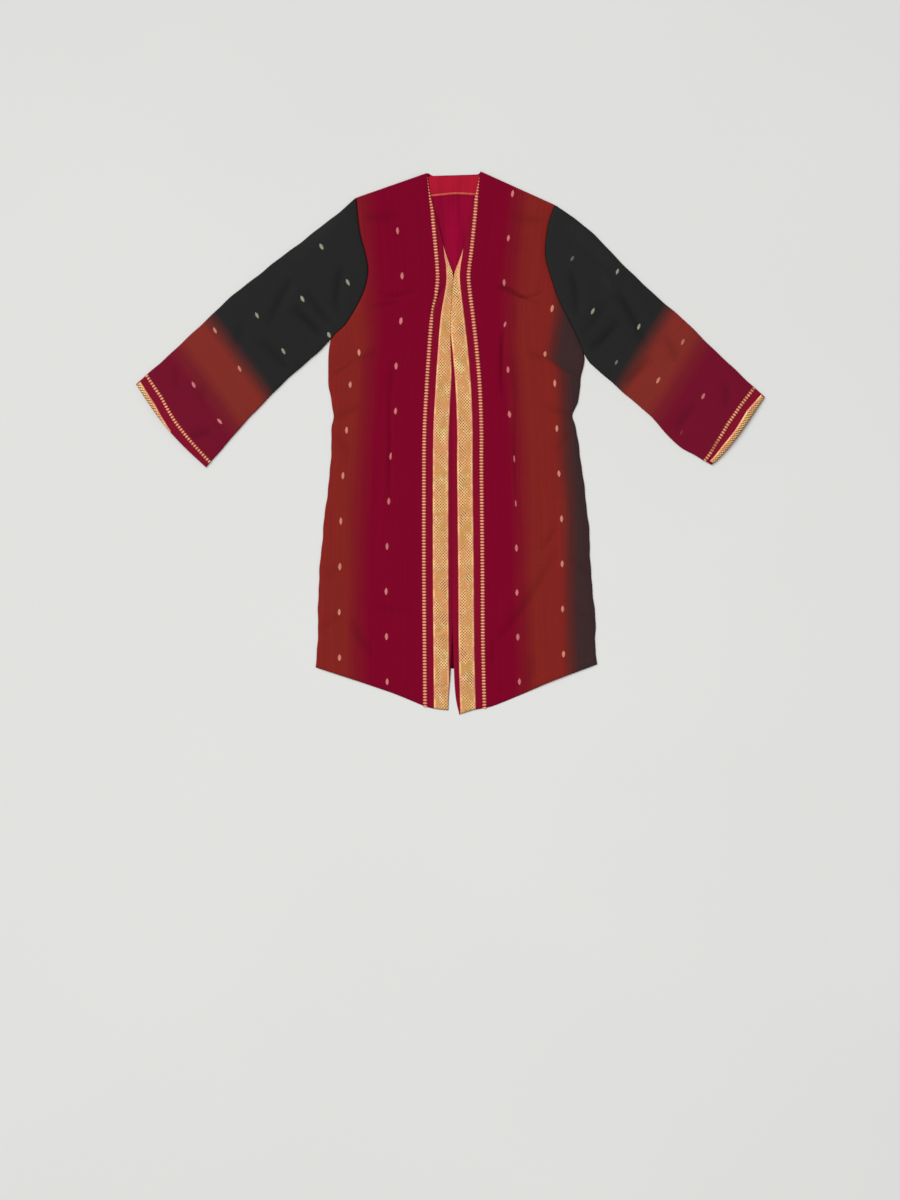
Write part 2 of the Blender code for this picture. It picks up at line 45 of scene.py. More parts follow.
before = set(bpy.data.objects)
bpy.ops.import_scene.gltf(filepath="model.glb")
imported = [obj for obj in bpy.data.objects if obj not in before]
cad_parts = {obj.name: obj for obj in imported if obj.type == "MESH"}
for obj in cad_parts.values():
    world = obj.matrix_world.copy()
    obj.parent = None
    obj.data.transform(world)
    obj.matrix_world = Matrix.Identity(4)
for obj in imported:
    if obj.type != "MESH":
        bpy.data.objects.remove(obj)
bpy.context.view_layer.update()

MM = 0.001
BODY = "root"

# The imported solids: their walls and gaps, how full their middles are, and how the fronts come down from
# the back to the surface below its hem.
PANEL_WALL = 1.2
SEAM_GAP = 0.3
HUMP_FULLNESS = 0.7
FOLD_HEIGHT = 3.2
ARMHOLE_GAP = -0.2
ARMHOLE_REACH = 2.5
CUFF_REACH = 1.0
HEM_ROWS = 2.0
BACK_HEM_Y = -421.0
BACK_HEM_SAG = 5.0
DROP_STARTS = 20.0
DROP_LENGTH = 40.0
# The shade on the back where the fronts part above its hem.
SLIT_X = 8.0
SLIT_WIDTH = 14.0
SLIT_TOP_Y = -330.0
SLIT_FADE = 40.0
SLIT_SHADE = 1.8
# What the cells are counted over, across each kind of piece.
FRONT_ACROSS = 270
BACK_ACROSS = 530
SLEEVE_ACROSS = 250
# How far from a seam the cloth counts as plain, out of reach of the painted shade in the seam's ditch, and
# how long one ring of a sleeve is, about.
FAR_FROM_SEAM = 40.0
RING_LENGTH = 35.0
# How a front's cloth lies at its edges: over what width it is pressed, how much of a crease shows there,
# how far it sinks into its seam, and how much of that below the armhole. Then what the turned hem adds and
# the width of its step, how far the hem's fold sinks, and how far the whole front can sink into its bed.
EDGE_PRESSED = 12.0
EDGE_CREASE = 0.25
SEAM_SINK = 0.8
SEAM_SINK_WIDTH = 3.0
ARMHOLE_Y = 180.0
SIDE_SINK = 0.5
HEM_LAYER = 0.35
HEM_STEP = 2.5
HEM_SINK = 0.5
HEM_SINK_WIDTH = 2.0
LEAST_BED = 0.5
# How a bust dart steps the cloth: how far the step runs on past its tip, and how high it is, at the dart
# and with each millimetre past its tip.
DART_RUNS_ON = 60.0
DART_STEP = 2.0
DART_SPREAD = 1.1
# How far a sleeve's folds stray, over how many rings that begins at the armhole and ends at the cuff, over
# what width the folds are pressed, and how far the sleeve sinks into its armhole's seam.
FOLD_STRAYS = 1.2
STRAYS_FROM = 1.5
STRAYS_TO = 0.6
FOLD_PRESSED = 10.0
ARMHOLE_SINK = 0.9
ARMHOLE_SINK_WIDTH = 5.0
# How high the woven border lies on the cloth, and its threads on it; how thick its strips and the edging are.
BORDER_LIFT = 0.12
THREAD_LIFT = 0.3
FLOWER_LIFT = 0.1
BAND_WALL = 0.00025
LADDER_WALL = 0.00015
EDGING_WALL = 0.0003
# Where a strip on a front starts above its hem, in rows, and how narrow the neckline cuts each one.
STRIP_FOOT = 0.004
LEAST_BAND = 0.3
LEAST_LADDER = 2.0
LEAST_RUNG = 1.2
# How far inside a front's free edge a strip and a rung stay.
STRIP_INSET = 0.35
RUNG_INSET = 0.5
# How far the gold at a cuff is from its edge, and how far in it reaches at least.
CUFF_INSET = 0.25
LEAST_CUFF_BAND = 0.8
# The two fronts' strips come from different lengths of the cloth.
RIGHT_STRIP_DOWN = 1456
# The right band reaches so far under the left front's edge, down to the height where the fronts part.
UNDER_LAP = 4.0
PARTED_Y = -399.0
# The bands' tips come so much nearer to the ladder lines, from this height on.
TIP_Y = 335.0
TIP_RISE = 20.0
TIP_NEARER_LEFT = 0.5
TIP_NEARER_RIGHT = 1.5
# The right ladder line is pinched at this height: how high, how much narrower, and how far it moves.
PINCH_Y = 252.0
PINCH_WIDTH = 14.0
PINCH_NARROWS = 0.55
PINCH_MOVES = 1.2


def rows(kind, *table):
    """A table whose columns have the names of its kind."""
    return tuple(kind(*row) for row in table)


# One row of a front, from its free edge (inner) to its side seam or armhole (outer): both ends' places,
# how far each end is lifted off what it lies on, how far the middle rises, and how far the row sags.
Section = namedtuple("Section", "inner_x inner_y outer_x outer_y inner_lift outer_lift hump sag")
FRONT_LEFT = rows(
    Section,
    (17, -516, 278, -420, 0, 0, 0, 1),  # hem
    (9, -473, 275, -386, 0.3, 0, 0.7, 0.6),  # above the hem
    (5, -378, 274, -321, 2.6, 0, 1.3, 0),  # slit
    (4, -291, 267, -247, 2.6, 0, 1.5, 0),  # hip
    (3, -169, 262, -158, 2.6, 0, 1.6, 0),  # upper hip
    (3, -55, 251, -57, 2.6, 0, 1.5, 0),  # below the waist
    (3, 24, 238, 25, 2.6, 0, 1.3, 0),  # low waist
    (3, 51, 232, 51, 2.6, 0, 1.2, 0),  # waist
    (3, 68, 237, 67, 2.6, 0, 1.3, 0),  # high waist
    (2, 86, 243, 84, 2.6, 0, 1.4, 0),  # above the waist
    (2, 131, 248, 125, 2.7, 0, 1.7, 0),  # bust dart
    (0, 192, 254, 167, 3, 0, 1.8, 0),  # armpit
    (1, 253, 233, 219, 3.3, 0.5, 1.6, 0),  # lap
    (6, 315, 206, 272, 3.6, 0.5, 1.4, 0),  # foot of the neckline
    (15, 343, 192, 312, 2.2, 0.5, 1.4, 0),  # chest
    (24, 370, 181, 352, 1.6, 0.5, 1.4, 0),  # tip of the gold band
    (35, 421, 182, 390, 1.6, 0.5, 1.2, 0),  # yoke
    (46, 469, 189, 426, 1.6, 0.5, 0.8, 0),  # upper yoke
    (57, 516, 199, 452, 1.6, 0, 0, 0),  # shoulder
)
FRONT_RIGHT = rows(
    Section,
    (-4, -508, -256, -426, 0, 0, 0, 1),  # hem
    (-2, -465, -253, -386, 0.3, 0, 0.7, 0.6),  # above the hem
    (4, -374, -251, -321, 0.6, 0, 1.5, 0),  # slit
    (8, -291, -249, -247, 0.6, 0, 1.8, 0),  # hip
    (9, -169, -241, -158, 0.6, 0, 1.9, 0),  # upper hip
    (9, -59, -229, -57, 0.6, 0, 1.7, 0),  # below the waist
    (9, 20, -226, 20, 0.6, 0, 1.4, 0),  # low waist
    (9, 48, -222, 48, 0.6, 0, 1.3, 0),  # waist
    (9, 66, -224, 66, 0.6, 0, 1.4, 0),  # high waist
    (9, 86, -227, 86, 0.6, 0, 1.5, 0),  # above the waist
    (9, 131, -232, 131, 0.7, 0, 1.9, 0),  # bust dart
    (10, 192, -227, 196, 1, 0, 2, 0),  # armpit
    (11, 253, -198, 228, 1.3, 0.5, 1.7, 0),  # lap
    (6, 316, -168, 281, 1.6, 0.5, 1.5, 0),  # foot of the neckline
    (-3, 344, -157, 323, 1.6, 0.5, 1.4, 0),  # chest
    (-12, 372, -161, 357, 1.6, 0.5, 1.4, 0),  # tip of the gold band
    (-24, 421, -171, 395, 1.6, 0.5, 1.2, 0),  # yoke
    (-37, 469, -176, 431, 1.6, 0.5, 0.8, 0),  # upper yoke
    (-44, 513, -179, 466, 1.6, 0, 0, 0),  # shoulder
)
ARMPIT = 11
SHOULDER = 18

# How far a hem hangs below a straight line, at shares of the way from the free edge to the side seam.
HemPlace = namedtuple("HemPlace", "across dip")
HEM_LEFT = rows(
    HemPlace, (0, 0), (0.10, 0.4), (0.16, 3.2), (0.24, 6), (0.43, 4), (0.66, 0.3), (1, 0)
)
HEM_RIGHT = rows(
    HemPlace, (0, 0), (0.09, 4.2), (0.165, 5.8), (0.30, 2.7), (0.42, 0.2), (0.66, -0.8), (1, 0)
)

# The middle of the ladder line down each front, from the hem to the neck: it is straight in the cloth, and
# the darts bend it.
Run = namedtuple("Run", "x y")
LADDER_LEFT = rows(
    Run, (65, -510), (62, -385), (61, -240), (59, -51), (59, 25), (56, 105), (50, 177), (43, 240),
    (35, 306), (36, 335), (40, 365), (47.5, 440), (49.5, 474), (51.5, 512),
)
LADDER_RIGHT = rows(
    Run, (-48, -500), (-49, -385), (-50, -240), (-50, -70), (-49, 25), (-45, 105), (-41, 167), (-35, 240),
    (-25, 300), (-25, 335), (-27.8, 369), (-34.5, 440), (-37.4, 474), (-40, 506),
)

# The two lines of woven flowers down each front follow its warp, so they show how the cloth lies. The
# outer line steps where the bust dart takes the cloth in, and is the chest line above it. In the cloth,
# the two lines are so far from the ladder line.
INNER_LEFT = rows(
    Run, (131.2, -453), (127.2, -330), (124.2, -116), (119.2, 0), (112.2, 55), (109.2, 141), (103.2, 226),
    (102.2, 306), (110.2, 389), (118.2, 474),
)
OUTER_LEFT = rows(
    Run, (216.2, -453), (213.2, -315), (211.2, -143), (206.2, -59), (202.2, 29), (198.2, 114), (194.2, 165)
)
CHEST_LEFT = rows(Run, (178.2, 140), (179, 169), (193.2, 255), (200.2, 306), (217.2, 474))
INNER_RIGHT = rows(
    Run, (-120, -453), (-122, -283), (-120, -195), (-113, -25), (-104, 61), (-103, 146), (-94, 231),
    (-91, 306), (-99, 389), (-106, 474),
)
OUTER_RIGHT = rows(
    Run, (-210, -453), (-211, -321), (-208, -149), (-204, -62), (-197, 25), (-190, 111), (-186, 165)
)
CHEST_RIGHT = rows(Run, (-171, 140), (-173, 169), (-185, 255), (-190, 306), (-206, 474))
INNER_AT = 66.0
OUTER_AT = 153.0

# A bust dart: its tip and where it meets the side seam.
Dart = namedtuple("Dart", "tip_x tip_y side_x side_y")
DART_LEFT = Dart(183, 158, 248, 124)
DART_RIGHT = Dart(-179, 160, -232, 126)

# Flowers down a line: the first one's height, the distance to the next, how many, and the height above
# which the folds take up some of the distance.
FlowerRow = namedtuple("FlowerRow", "line first_y spacing count fold_y take_up")
FLOWERS_LEFT = rows(
    FlowerRow,
    ("inner", -453, 84.6, 12, 300, 4),
    ("outer", -400.8, 85.7, 7, 1000, 0),
    ("chest", 169.2, 86.3, 2, 1000, 0),
)
FLOWERS_RIGHT = rows(
    FlowerRow,
    ("inner", -453, 85.6, 11, 1000, 0),
    ("outer", -407.5, 86.4, 7, 1000, 0),
    ("chest", 172, 86.3, 1, 1000, 0),
)
# The left front's waist dart runs through its inner line's flowers between these heights, and narrows them.
DART_FOOT_Y = -130
DART_HEAD_Y = 40
ON_DART = 0.56

# A crease: a soft trough or ridge on a curve from one end, drawn towards a middle point, to the other
# end, with a lip beside it, on its left.
Crease = namedtuple("Crease", "name from_x from_y by_x by_y to_x to_y width rise lip")
CREASES_LEFT = rows(
    Crease,
    ("bust_dart", 244, 128, 214, 136, 184, 157, 5, -0.6, 0.4),
    ("bust_dart_tip", 186, 156, 168, 166, 146, 170, 12, -0.5, 0.4),
    ("waist_dart", 124, -112, 121, 0, 123, 96, 4, -1.05, 0.3),
    ("waist_dart_tip", 123, 80, 121, 128, 115, 168, 9, -0.5, 0.2),
    ("under_flower", 101, 218, 93, 160, 98, 84, 4.4, -1.5, 0.5),
    ("chest_drag", 88, 297, 110, 294, 140, 276, 7.4, -1.2, 0.8),
    ("chest_drag_end", 114, 288, 142, 264, 176, 290, 4.2, -0.85, 0.7),
    ("chest_branch", 128, 281, 146, 272, 174, 262, 5, -0.6, 0.4),
    ("chest_pleat", 122, 268, 124, 240, 122, 210, 7, -0.5, 0.3),
    ("hip_drag", 84, -380, 140, -316, 204, -200, 11, -0.6, 0.6),
    ("hip_drag_upper", 170, -206, 186, -186, 202, -156, 8, -0.5, 0.4),
    ("hem_streak", 80, -424, 79, -398, 80, -372, 5, -0.6, 0.2),
    ("hem_wave", 150, -468, 150, -430, 158, -400, 16, -0.5, 0.4),
    ("side_wave", 270, -250, 244, -236, 222, -210, 14, -0.35, 0.3),
    ("side_wave_low", 274, -340, 252, -330, 232, -306, 12, -0.3, 0.3),
    ("waist_side", 232, 52, 206, 58, 176, 74, 12, -0.5, 0.4),
    ("waist_side_low", 236, 26, 214, 10, 196, -22, 13, -0.4, 0.3),
    ("shoulder_drag", 186, 424, 150, 420, 112, 436, 14, -0.5, 0.4),
)
CREASES_RIGHT = rows(
    Crease,
    ("bust_dart", -228, 128, -206, 138, -180, 159, 5, -0.6, -0.4),
    ("bust_dart_tip", -182, 158, -160, 168, -138, 174, 12, -0.5, 0.4),
    ("waist_dart", -118, -110, -114, 0, -116, 92, 4, -1.1, 0.3),
    ("waist_dart_tip", -116, 76, -114, 120, -108, 160, 9, -0.5, 0.2),
    ("ladder_pinch", -8, 306, -26, 282, -40, 240, 5, -1.3, 0.8),
    ("chest_drag", -58, 298, -100, 268, -140, 288, 7, -0.6, 0.4),
    ("chest_branch", -100, 270, -122, 262, -150, 262, 9, -0.6, 0.3),
    ("hip_drag", -60, -318, -110, -322, -168, -300, 14, -0.25, 0.3),
    ("hem_drag", -146, -404, -176, -372, -190, -330, 14, -0.6, 0.4),
    ("band_wrinkle", -6, -350, -18, -354, -34, -362, 4, -0.7, 0.5),
    ("band_wrinkle_low", -4, -458, -16, -464, -30, -462, 4, -0.5, 0.4),
    ("side_wave", -246, -258, -222, -246, -196, -220, 14, -0.3, 0.3),
    ("side_wave_low", -252, -356, -230, -346, -206, -320, 12, -0.3, 0.3),
    ("waist_side", -223, 48, -196, 56, -166, 74, 12, -0.5, 0.4),
    ("waist_side_low", -226, 20, -206, 4, -190, -30, 13, -0.4, 0.3),
    ("shoulder_drag", -168, 430, -132, 422, -98, 440, 14, -0.5, 0.4),
)
CREASES_SLEEVE_LEFT = rows(
    Crease,
    ("cap_drag", 226, 330, 240, 292, 238, 238, 11, -1.1, 0.6),
    ("armpit_drag", 262, 176, 290, 196, 322, 236, 12, -1.2, 0.8),
    ("armpit_drag_upper", 246, 204, 276, 232, 296, 268, 12, -0.8, 0.5),
    ("elbow_fold", 316, 286, 338, 262, 372, 180, 12, -1.1, 0.7),
    ("elbow_fold_upper", 286, 318, 300, 304, 306, 284, 10, 0.6, 0.2),
    ("elbow_ripple", 330, 112, 356, 134, 384, 168, 13, -0.8, 0.5),
    ("forearm_ripple", 404, 206, 424, 182, 430, 150, 15, -0.6, 0.5),
    ("forearm_ripple_low", 424, 22, 440, 52, 470, 74, 15, -0.6, 0.4),
    ("cuff_ripple", 520, 118, 528, 92, 520, 66, 12, -0.6, 0.4),
    ("crown_ridge", 214, 424, 262, 388, 326, 318, 22, 0.5, 0),
)
CREASES_SLEEVE_RIGHT = rows(
    Crease,
    ("cap_drag", -204, 340, -220, 300, -216, 246, 11, -1.1, 0.6),
    ("armpit_drag", -242, 204, -268, 226, -300, 262, 12, -1.2, -0.8),
    ("armpit_drag_upper", -226, 226, -256, 256, -276, 292, 12, -0.8, -0.5),
    ("elbow_fold", -300, 316, -322, 286, -350, 214, 12, -1, 0.6),
    ("elbow_ripple", -306, 140, -334, 164, -360, 200, 13, -0.8, -0.5),
    ("forearm_hollow", -470, 112, -468, 96, -474, 80, 14, -0.6, 0.4),
    ("forearm_ripple", -392, 236, -408, 206, -410, 172, 15, -0.6, 0.5),
    ("cuff_ripple", -500, 8, -476, 18, -452, 22, 11, -0.7, 0.5),
    ("cuff_ripple_top", -520, 150, -526, 120, -516, 96, 12, -0.5, 0.4),
    ("crown_ridge", -196, 440, -240, 410, -306, 344, 22, 0.5, 0),
)
# The darts that are sewn, and how far their line of painted shade is from being as dark as a seam's.
SEWN_DARTS = {"bust_dart": 1.4, "waist_dart": 0.9}

# The back's top edge above a line between the shoulder tips: (share of the way across, rise) from the
# wearer's right, with the neck's two corners in it.
BACK_TOP = ((0, 0), (0.365, 52), (0.380, 47), (0.612, 53), (0.627, 58.2), (1, 0))

# One ring of a sleeve, from the fold under the arm to the fold along the top, and its middle's rise.
Ring = namedtuple("Ring", "under_x under_y top_x top_y crown")
SLEEVE_LEFT = rows(
    Ring,
    (254, 167, 199, 452, 0.6),  # armhole
    (261, 157, 242, 422, 2.6),  # cap
    (272, 145, 286, 383, 3),  # upper arm
    (313, 109, 363, 305, 2.8),  # elbow
    (375, 56, 449, 228, 2.8),  # forearm
    (432, -3, 530, 150, 2.6),  # wrist
    (495, -41, 597, 88, 2.2),  # cuff
)
SLEEVE_RIGHT = rows(
    Ring,
    (-227, 196, -179, 466, 0.6),  # armhole
    (-240, 183, -215, 435, 2.6),  # cap
    (-253, 171, -257, 403, 3),  # upper arm
    (-290, 138, -343, 336, 2.8),  # elbow
    (-341, 91, -426, 270, 2.8),  # forearm
    (-399, 29, -514, 186, 2.6),  # wrist
    (-464, -46, -597, 112, 2.2),  # cuff
)
CUFF = 6

# The border at a cuff, from the under fold to the top fold: (share of the way, how far the middle of the
# ladder line is from the cuff's edge, how much of the gold band isn't turned inside). Then how dim the
# ladder line's rungs are painted, as if they caught less light: (share of the way, painted dimness).
CUFF_LEFT = ((0, 15, 8), (0.25, 24, 12), (0.5, 29, 11.5), (0.75, 29, 14), (1, 26, 8))
CUFF_RIGHT = ((0, 12, 0), (0.25, 16, 0), (0.5, 20, 3), (0.75, 27, 9.6), (1, 26, 9.8))
LADDER_IN = 1
BAND_OUT = 2
RUNGS_DIM_LEFT = ((0, 0.15), (0.1, 0.1), (0.15, 0.6), (0.27, 0.5), (0.32, 0.05), (0.9, 0.1), (1, 0.5))
RUNGS_DIM_RIGHT = ((0, 0.15), (0.5, 0.02), (1, 0.1))

# A cuff's edge: how far it bows out, how the bow leans to the under fold (below 1) or doesn't (1), and the
# share of the way at which the gold comes out from inside.
CuffEdge = namedtuple("CuffEdge", "bow lean gold_from")
EDGE_LEFT = CuffEdge(6.8, 0.66, 0.03)
EDGE_RIGHT = CuffEdge(9.0, 1.0, 0.46)

# Inside the neck: each strip as rows from the wearer's right to the wearer's left.
NeckPlace = namedtuple("NeckPlace", "top_x top_y low_x low_y")
FACING = rows(
    NeckPlace,
    (-41, 507, -44, 471.8),
    (-17, 507.2, -17, 474.6),
    (7, 508, 7, 476.8),
    (31, 508.6, 33, 476.2),
    (55, 509, 60, 473.4),
)
EDGING_WIDTH = 4.0
LINING_FOOT_Y = 287.0
LINING_FOOT_X = (-10.0, 24.0)

# A sleeve is cut with its warp along the cuff: the ladder line at the cuff is the cloth's own line, from
# its end at the top fold, and the flowers stand in columns parallel to it, each a step further on.
SleeveCloth = namedtuple(
    "SleeveCloth", "line_x line_y foot_x foot_y first_column first_flower step dye_slant"
)
CLOTH_LEFT = SleeveCloth(576, 103, 485, -34, 72.0, 65.0, 22.0, 0.03)
CLOTH_RIGHT = SleeveCloth(-575, 123, -459, -34, 62.0, 60.0, 26.0, 0.0)
COLUMN_SPACING = 88.0
FLOWER_SPACING = 84.4
FLOWER_LEAN = 0.72
CLOTH_MIDDLE = 98
# Which columns a sleeve can have, and which places in each, counted from the first. A flower stays clear of
# the folds, as a share of the way across, and of the armhole, in rings.
COLUMNS = range(5)
COLUMN_PLACES = range(-3, 5)
FOLD_CLEAR = 0.05
ARMHOLE_CLEAR = 0.33
# A flower's ground turns to rust, and to black, from so far before the dye does, over so much cloth.
BEFORE_RUST = 4.0
BEFORE_BLACK = 6.0
GROUND_TURNS = 16.0

# The flowers near these places differ from the others: in where they lie, how dim their metal thread is
# painted, as if it caught less light, their width and length, and how they lean.
FlowerNote = namedtuple("FlowerNote", "x y move_x move_y dull wide long lean")
NOTE_REACH = 18
FLOWER_NOTES = rows(
    FlowerNote,
    (103, 224, 0.5, 1.5, 0.05, 0.75, 0.86, -0.36),
    (179, 169, 0.8, 0, 0, 1.04, 0.82, 0),
    (230, 353, 0, -0.4, 0.66, 0.9, 0.85, -0.1),
    (317, 322, 0, 5, 0.05, 0.9, 0.88, 0.05),
    (315, 155, 6, 3.5, 0.45, 0.82, 0.76, -0.05),
    (356, 221, 2, 1.2, 0, 0.85, 0.95, 0.06),
    (442, 194, 0, 2.5, 0.3, 0.9, 1, 0),
    (438, 22, 5.5, 1.5, 0.84, 0.7, 0.7, 0),
    (-455, 212, 6.4, 3, 0.1, 0.9, 1, 0),
    (-405, 143, 3, -2, 0.3, 0.95, 1, 0),
    (-491, 113, 2, -1, 0.05, 1, 1, 0),
    (-439, 44, 1.3, -2.6, 0.05, 0.95, 1, 0.25),
)

# How the dye changes across each piece, by the distance from the ladder line: where crimson turns to
# rust, and where rust turns to the dark.
DYES = {
    "back": (92, 168),
    "front_left": (80, 168),
    "front_right": (124, 420),
    "sleeve_left": (130.5, 213),
    "sleeve_right": (82, 164),
}

# Each panel's flat size, in metres, and its area.
PANEL_SIZES = {
    "front_left": ((0.278, 1.032), 0.223),
    "front_right": ((0.266, 1.022), 0.215),
    "sleeve_left": ((0.55, 0.30), 0.165),
    "sleeve_right": ((0.58, 0.32), 0.184),
}


def shown(red, green, blue):
    """A colour for a shader from one as it shows, 0 to 255."""
    parts = (red / 255, green / 255, blue / 255)
    return tuple(((part + 0.055) / 1.055) ** 2.4 if part > 0.04 else part / 12.92 for part in parts)


def length(name, about, default, low=0.0, high=1.0):
    return FloatProperty(
        name=name, description=about, default=default, min=low, max=high, unit="LENGTH", precision=5
    )


def share(name, about, default, high):
    return FloatProperty(name=name, description=about, default=default, min=0.0, max=high)


def colour(name, about, *default):
    return FloatVectorProperty(
        name=name, description=about, default=shown(*default), min=0.0, max=1.0, size=3, subtype="COLOR"
    )


class ClothSettings(bpy.types.PropertyGroup):
    """Sizes of the cloth."""

    wall: length("Cloth", "Thickness of the brocade", 0.0005, 0.0002, 0.002)
    cell: length("Cell", "Size of a front's cells", 0.0027, 0.0015, 0.02)
    sleeve_cell: length("Sleeve cell", "Size of a sleeve's cells", 0.0032, 0.002, 0.02)
    back_cell: length("Back cell", "Size of the back's cells", 0.006, 0.003, 0.03)
    crease: share("Creases", "Depth of the creases", 1.0, 3.0)
    cockle: length("Cockling", "Height of the cloth's slight waves", 0.00022, 0.0, 0.002)
    yarn: length("Yarn", "Distance from one yarn to the next", 0.0005, 0.0001, 0.002)
    hem: length("Hem", "Depth of the turned hem", 0.014, 0.005, 0.04)


class ColourSettings(bpy.types.PropertyGroup):
    """Colours of the cloth and its threads."""

    border_red: colour("Border red", "The border's ground", 131, 11, 42)
    crimson: colour("Crimson", "The fronts beside the border", 124, 4, 38)
    sleeve_crimson: colour("Sleeve crimson", "The sleeves beside the cuffs", 115, 11, 40)
    rust: colour("Rust", "The middle of the shading", 130, 37, 32)
    sleeve_rust: colour("Sleeve rust", "The middle of the sleeves' shading", 130, 43, 36)
    umber: colour("Umber", "Where the rust turns dark", 84, 39, 36)
    side_dark: colour("Side dark", "The dark side of the left front", 58, 43, 44)
    black: colour("Black", "The upper sleeves", 36, 36, 36)
    gold: colour("Gold", "The band's thread", 246, 193, 129)
    gold_shade: colour("Gold shade", "The band between its threads", 118, 66, 30)
    # The colour of the band's painted glints.
    gold_glint: colour("Gold bright", "The band where it shines", 252, 221, 152)
    gold_plain: colour("Gold plain", "The band where its weave is close", 194, 143, 74)
    gold_orange: colour("Gold orange", "The band's redder gold", 210, 142, 86)
    salmon: colour("Salmon", "The band's two edge lines", 230, 146, 114)
    rung: colour("Rung", "The ladder line's rungs", 244, 152, 124)
    gold_rung: colour("Gold rung", "What the rungs' colour drifts to", 240, 172, 126)
    rung_ground: colour("Rung ground", "Between the rungs, at the line's sides", 128, 34, 42)
    rung_middle: colour("Rung middle", "Between the rungs, down the line's middle", 166, 72, 58)
    flower: colour("Flower", "Flowers woven on red", 226, 131, 132)
    rust_flower: colour("Flower on rust", "What the flowers' colour drifts to", 230, 147, 122)
    dark_flower: colour("Dark flower", "Flowers woven on black", 172, 171, 146)
    facing: colour("Facing", "Inside the back neck", 175, 24, 48)
    edging: colour("Edging", "The facing's edging", 202, 88, 74)
    lining: colour("Lining", "Inside the back", 144, 4, 47)


class BorderSettings(bpy.types.PropertyGroup):
    """Sizes of the woven border, measured from the middle of the ladder line, and of the flowers."""

    ladder_width: length("Ladder line", "Width of the ladder line", 0.0082, 0.003, 0.03)
    band_starts: length("Band starts", "From the ladder line to the gold band", 0.0167, 0.005, 0.05)
    band_width: length("Band width", "Width of the gold band", 0.0295, 0.005, 0.1)
    band_edge: length("Band edge", "Width of the band's edge lines", 0.0038, 0.001, 0.01)
    lattice: length("Lattice", "Size of the band's woven diamonds", 0.0058, 0.001, 0.02)
    rung_pitch: length("Rung pitch", "From one rung to the next", 0.0057, 0.002, 0.02)
    rung_width: length("Rung width", "Width of a rung", 0.0034, 0.001, 0.01)
    rung_height: length("Rung height", "Thickness of a rung", 0.0005, 0.0001, 0.002)
    flower_length: length("Flower length", "Length of a woven flower", 0.0121, 0.005, 0.05)
    flower_width: length("Flower width", "Width of a woven flower", 0.0076, 0.002, 0.03)
    flower_height: length("Flower height", "Thickness of the flowers' thread", 0.0005, 0.0001, 0.002)
    flower_threads: IntProperty(
        name="Flower threads", description="Threads across a flower", default=13, min=5, max=40
    )


class StageSettings(bpy.types.PropertyGroup):
    """The floor, the light and the camera."""

    floor: colour("Floor", "The plain pale floor", 229, 229, 227)
    floor_size: length("Floor size", "Half the floor's width", 60.0, 2.0, 200.0)
    frame_height: length("Frame height", "Height of the camera's view", 2.28, 0.5, 10.0)
    frame_x: length("Frame middle X", "The middle of the view, across", -0.0008, -1.0, 1.0)
    frame_y: length("Frame middle Y", "The middle of the view, up", -0.298, -1.0, 1.0)
    key: share("Main light", "Strength of the light from the upper left", 1.85, 20.0)
    fill: share("Second light", "Power of the light overhead, in watts", 37.0, 2000.0)
    sky: share("Sky", "Strength of the light from all round", 0.33, 10.0)


# ---- Numbers -----------------------------------------------------------------------------------------


def lerp(start, end, part):
    return start + (end - start) * part


def smooth_step(part):
    part = np.clip(part, 0.0, 1.0)
    return part * part * (3 - 2 * part)


def bell(distance, width):
    """1 at no distance, and soon 0 past the width."""
    return np.exp(-((distance / width) ** 2))


def arch(across):
    """0 at both ends of the way across, and 1 in its middle."""
    return np.sin(np.pi * np.clip(across, 0, 1))


def along(table, places):
    """A table's row of numbers at fractional places along it, on smooth curves through its rows."""
    numbers = np.array(table, float)
    padded = np.vstack([numbers[:1], numbers, numbers[-1:]])
    places = np.asarray(places, float)
    first = np.clip(places.astype(int), 0, len(numbers) - 2)
    part = (places - first)[..., None]
    before, start, end, after = (padded[first + step] for step in range(4))
    bend = 2 * before - 5 * start + 4 * end - after
    twist = 3 * start - before - 3 * end + after
    values = start + 0.5 * part * (end - before + part * (bend + part * twist))
    return type(table[0])(*np.moveaxis(values, -1, 0))


def column(table, number, across):
    """A table's column at shares of the way across, on straight lines between its rows."""
    columns = np.transpose(table)
    return np.interp(across, columns[0], columns[number])


def line_x(line, y):
    """X on a line given by its runs, smoothly, at any height."""
    fine = along(line, np.linspace(0, len(line) - 1, 12 * len(line)))
    order = np.argsort(fine.y)
    xs, ys = fine.x[order], fine.y[order]
    low_slope = (xs[6] - xs[0]) / (ys[6] - ys[0])
    high_slope = (xs[-1] - xs[-7]) / (ys[-1] - ys[-7])
    past_ends = np.minimum(y - ys[0], 0) * low_slope + np.maximum(y - ys[-1], 0) * high_slope
    return np.interp(y, ys, xs) + past_ends


def run_length(points):
    """The length of the way through points, so far, at each of them."""
    steps = np.linalg.norm(np.diff(points, axis=0), axis=-1)
    return np.concatenate([np.zeros_like(steps[:1]), np.cumsum(steps, 0)])


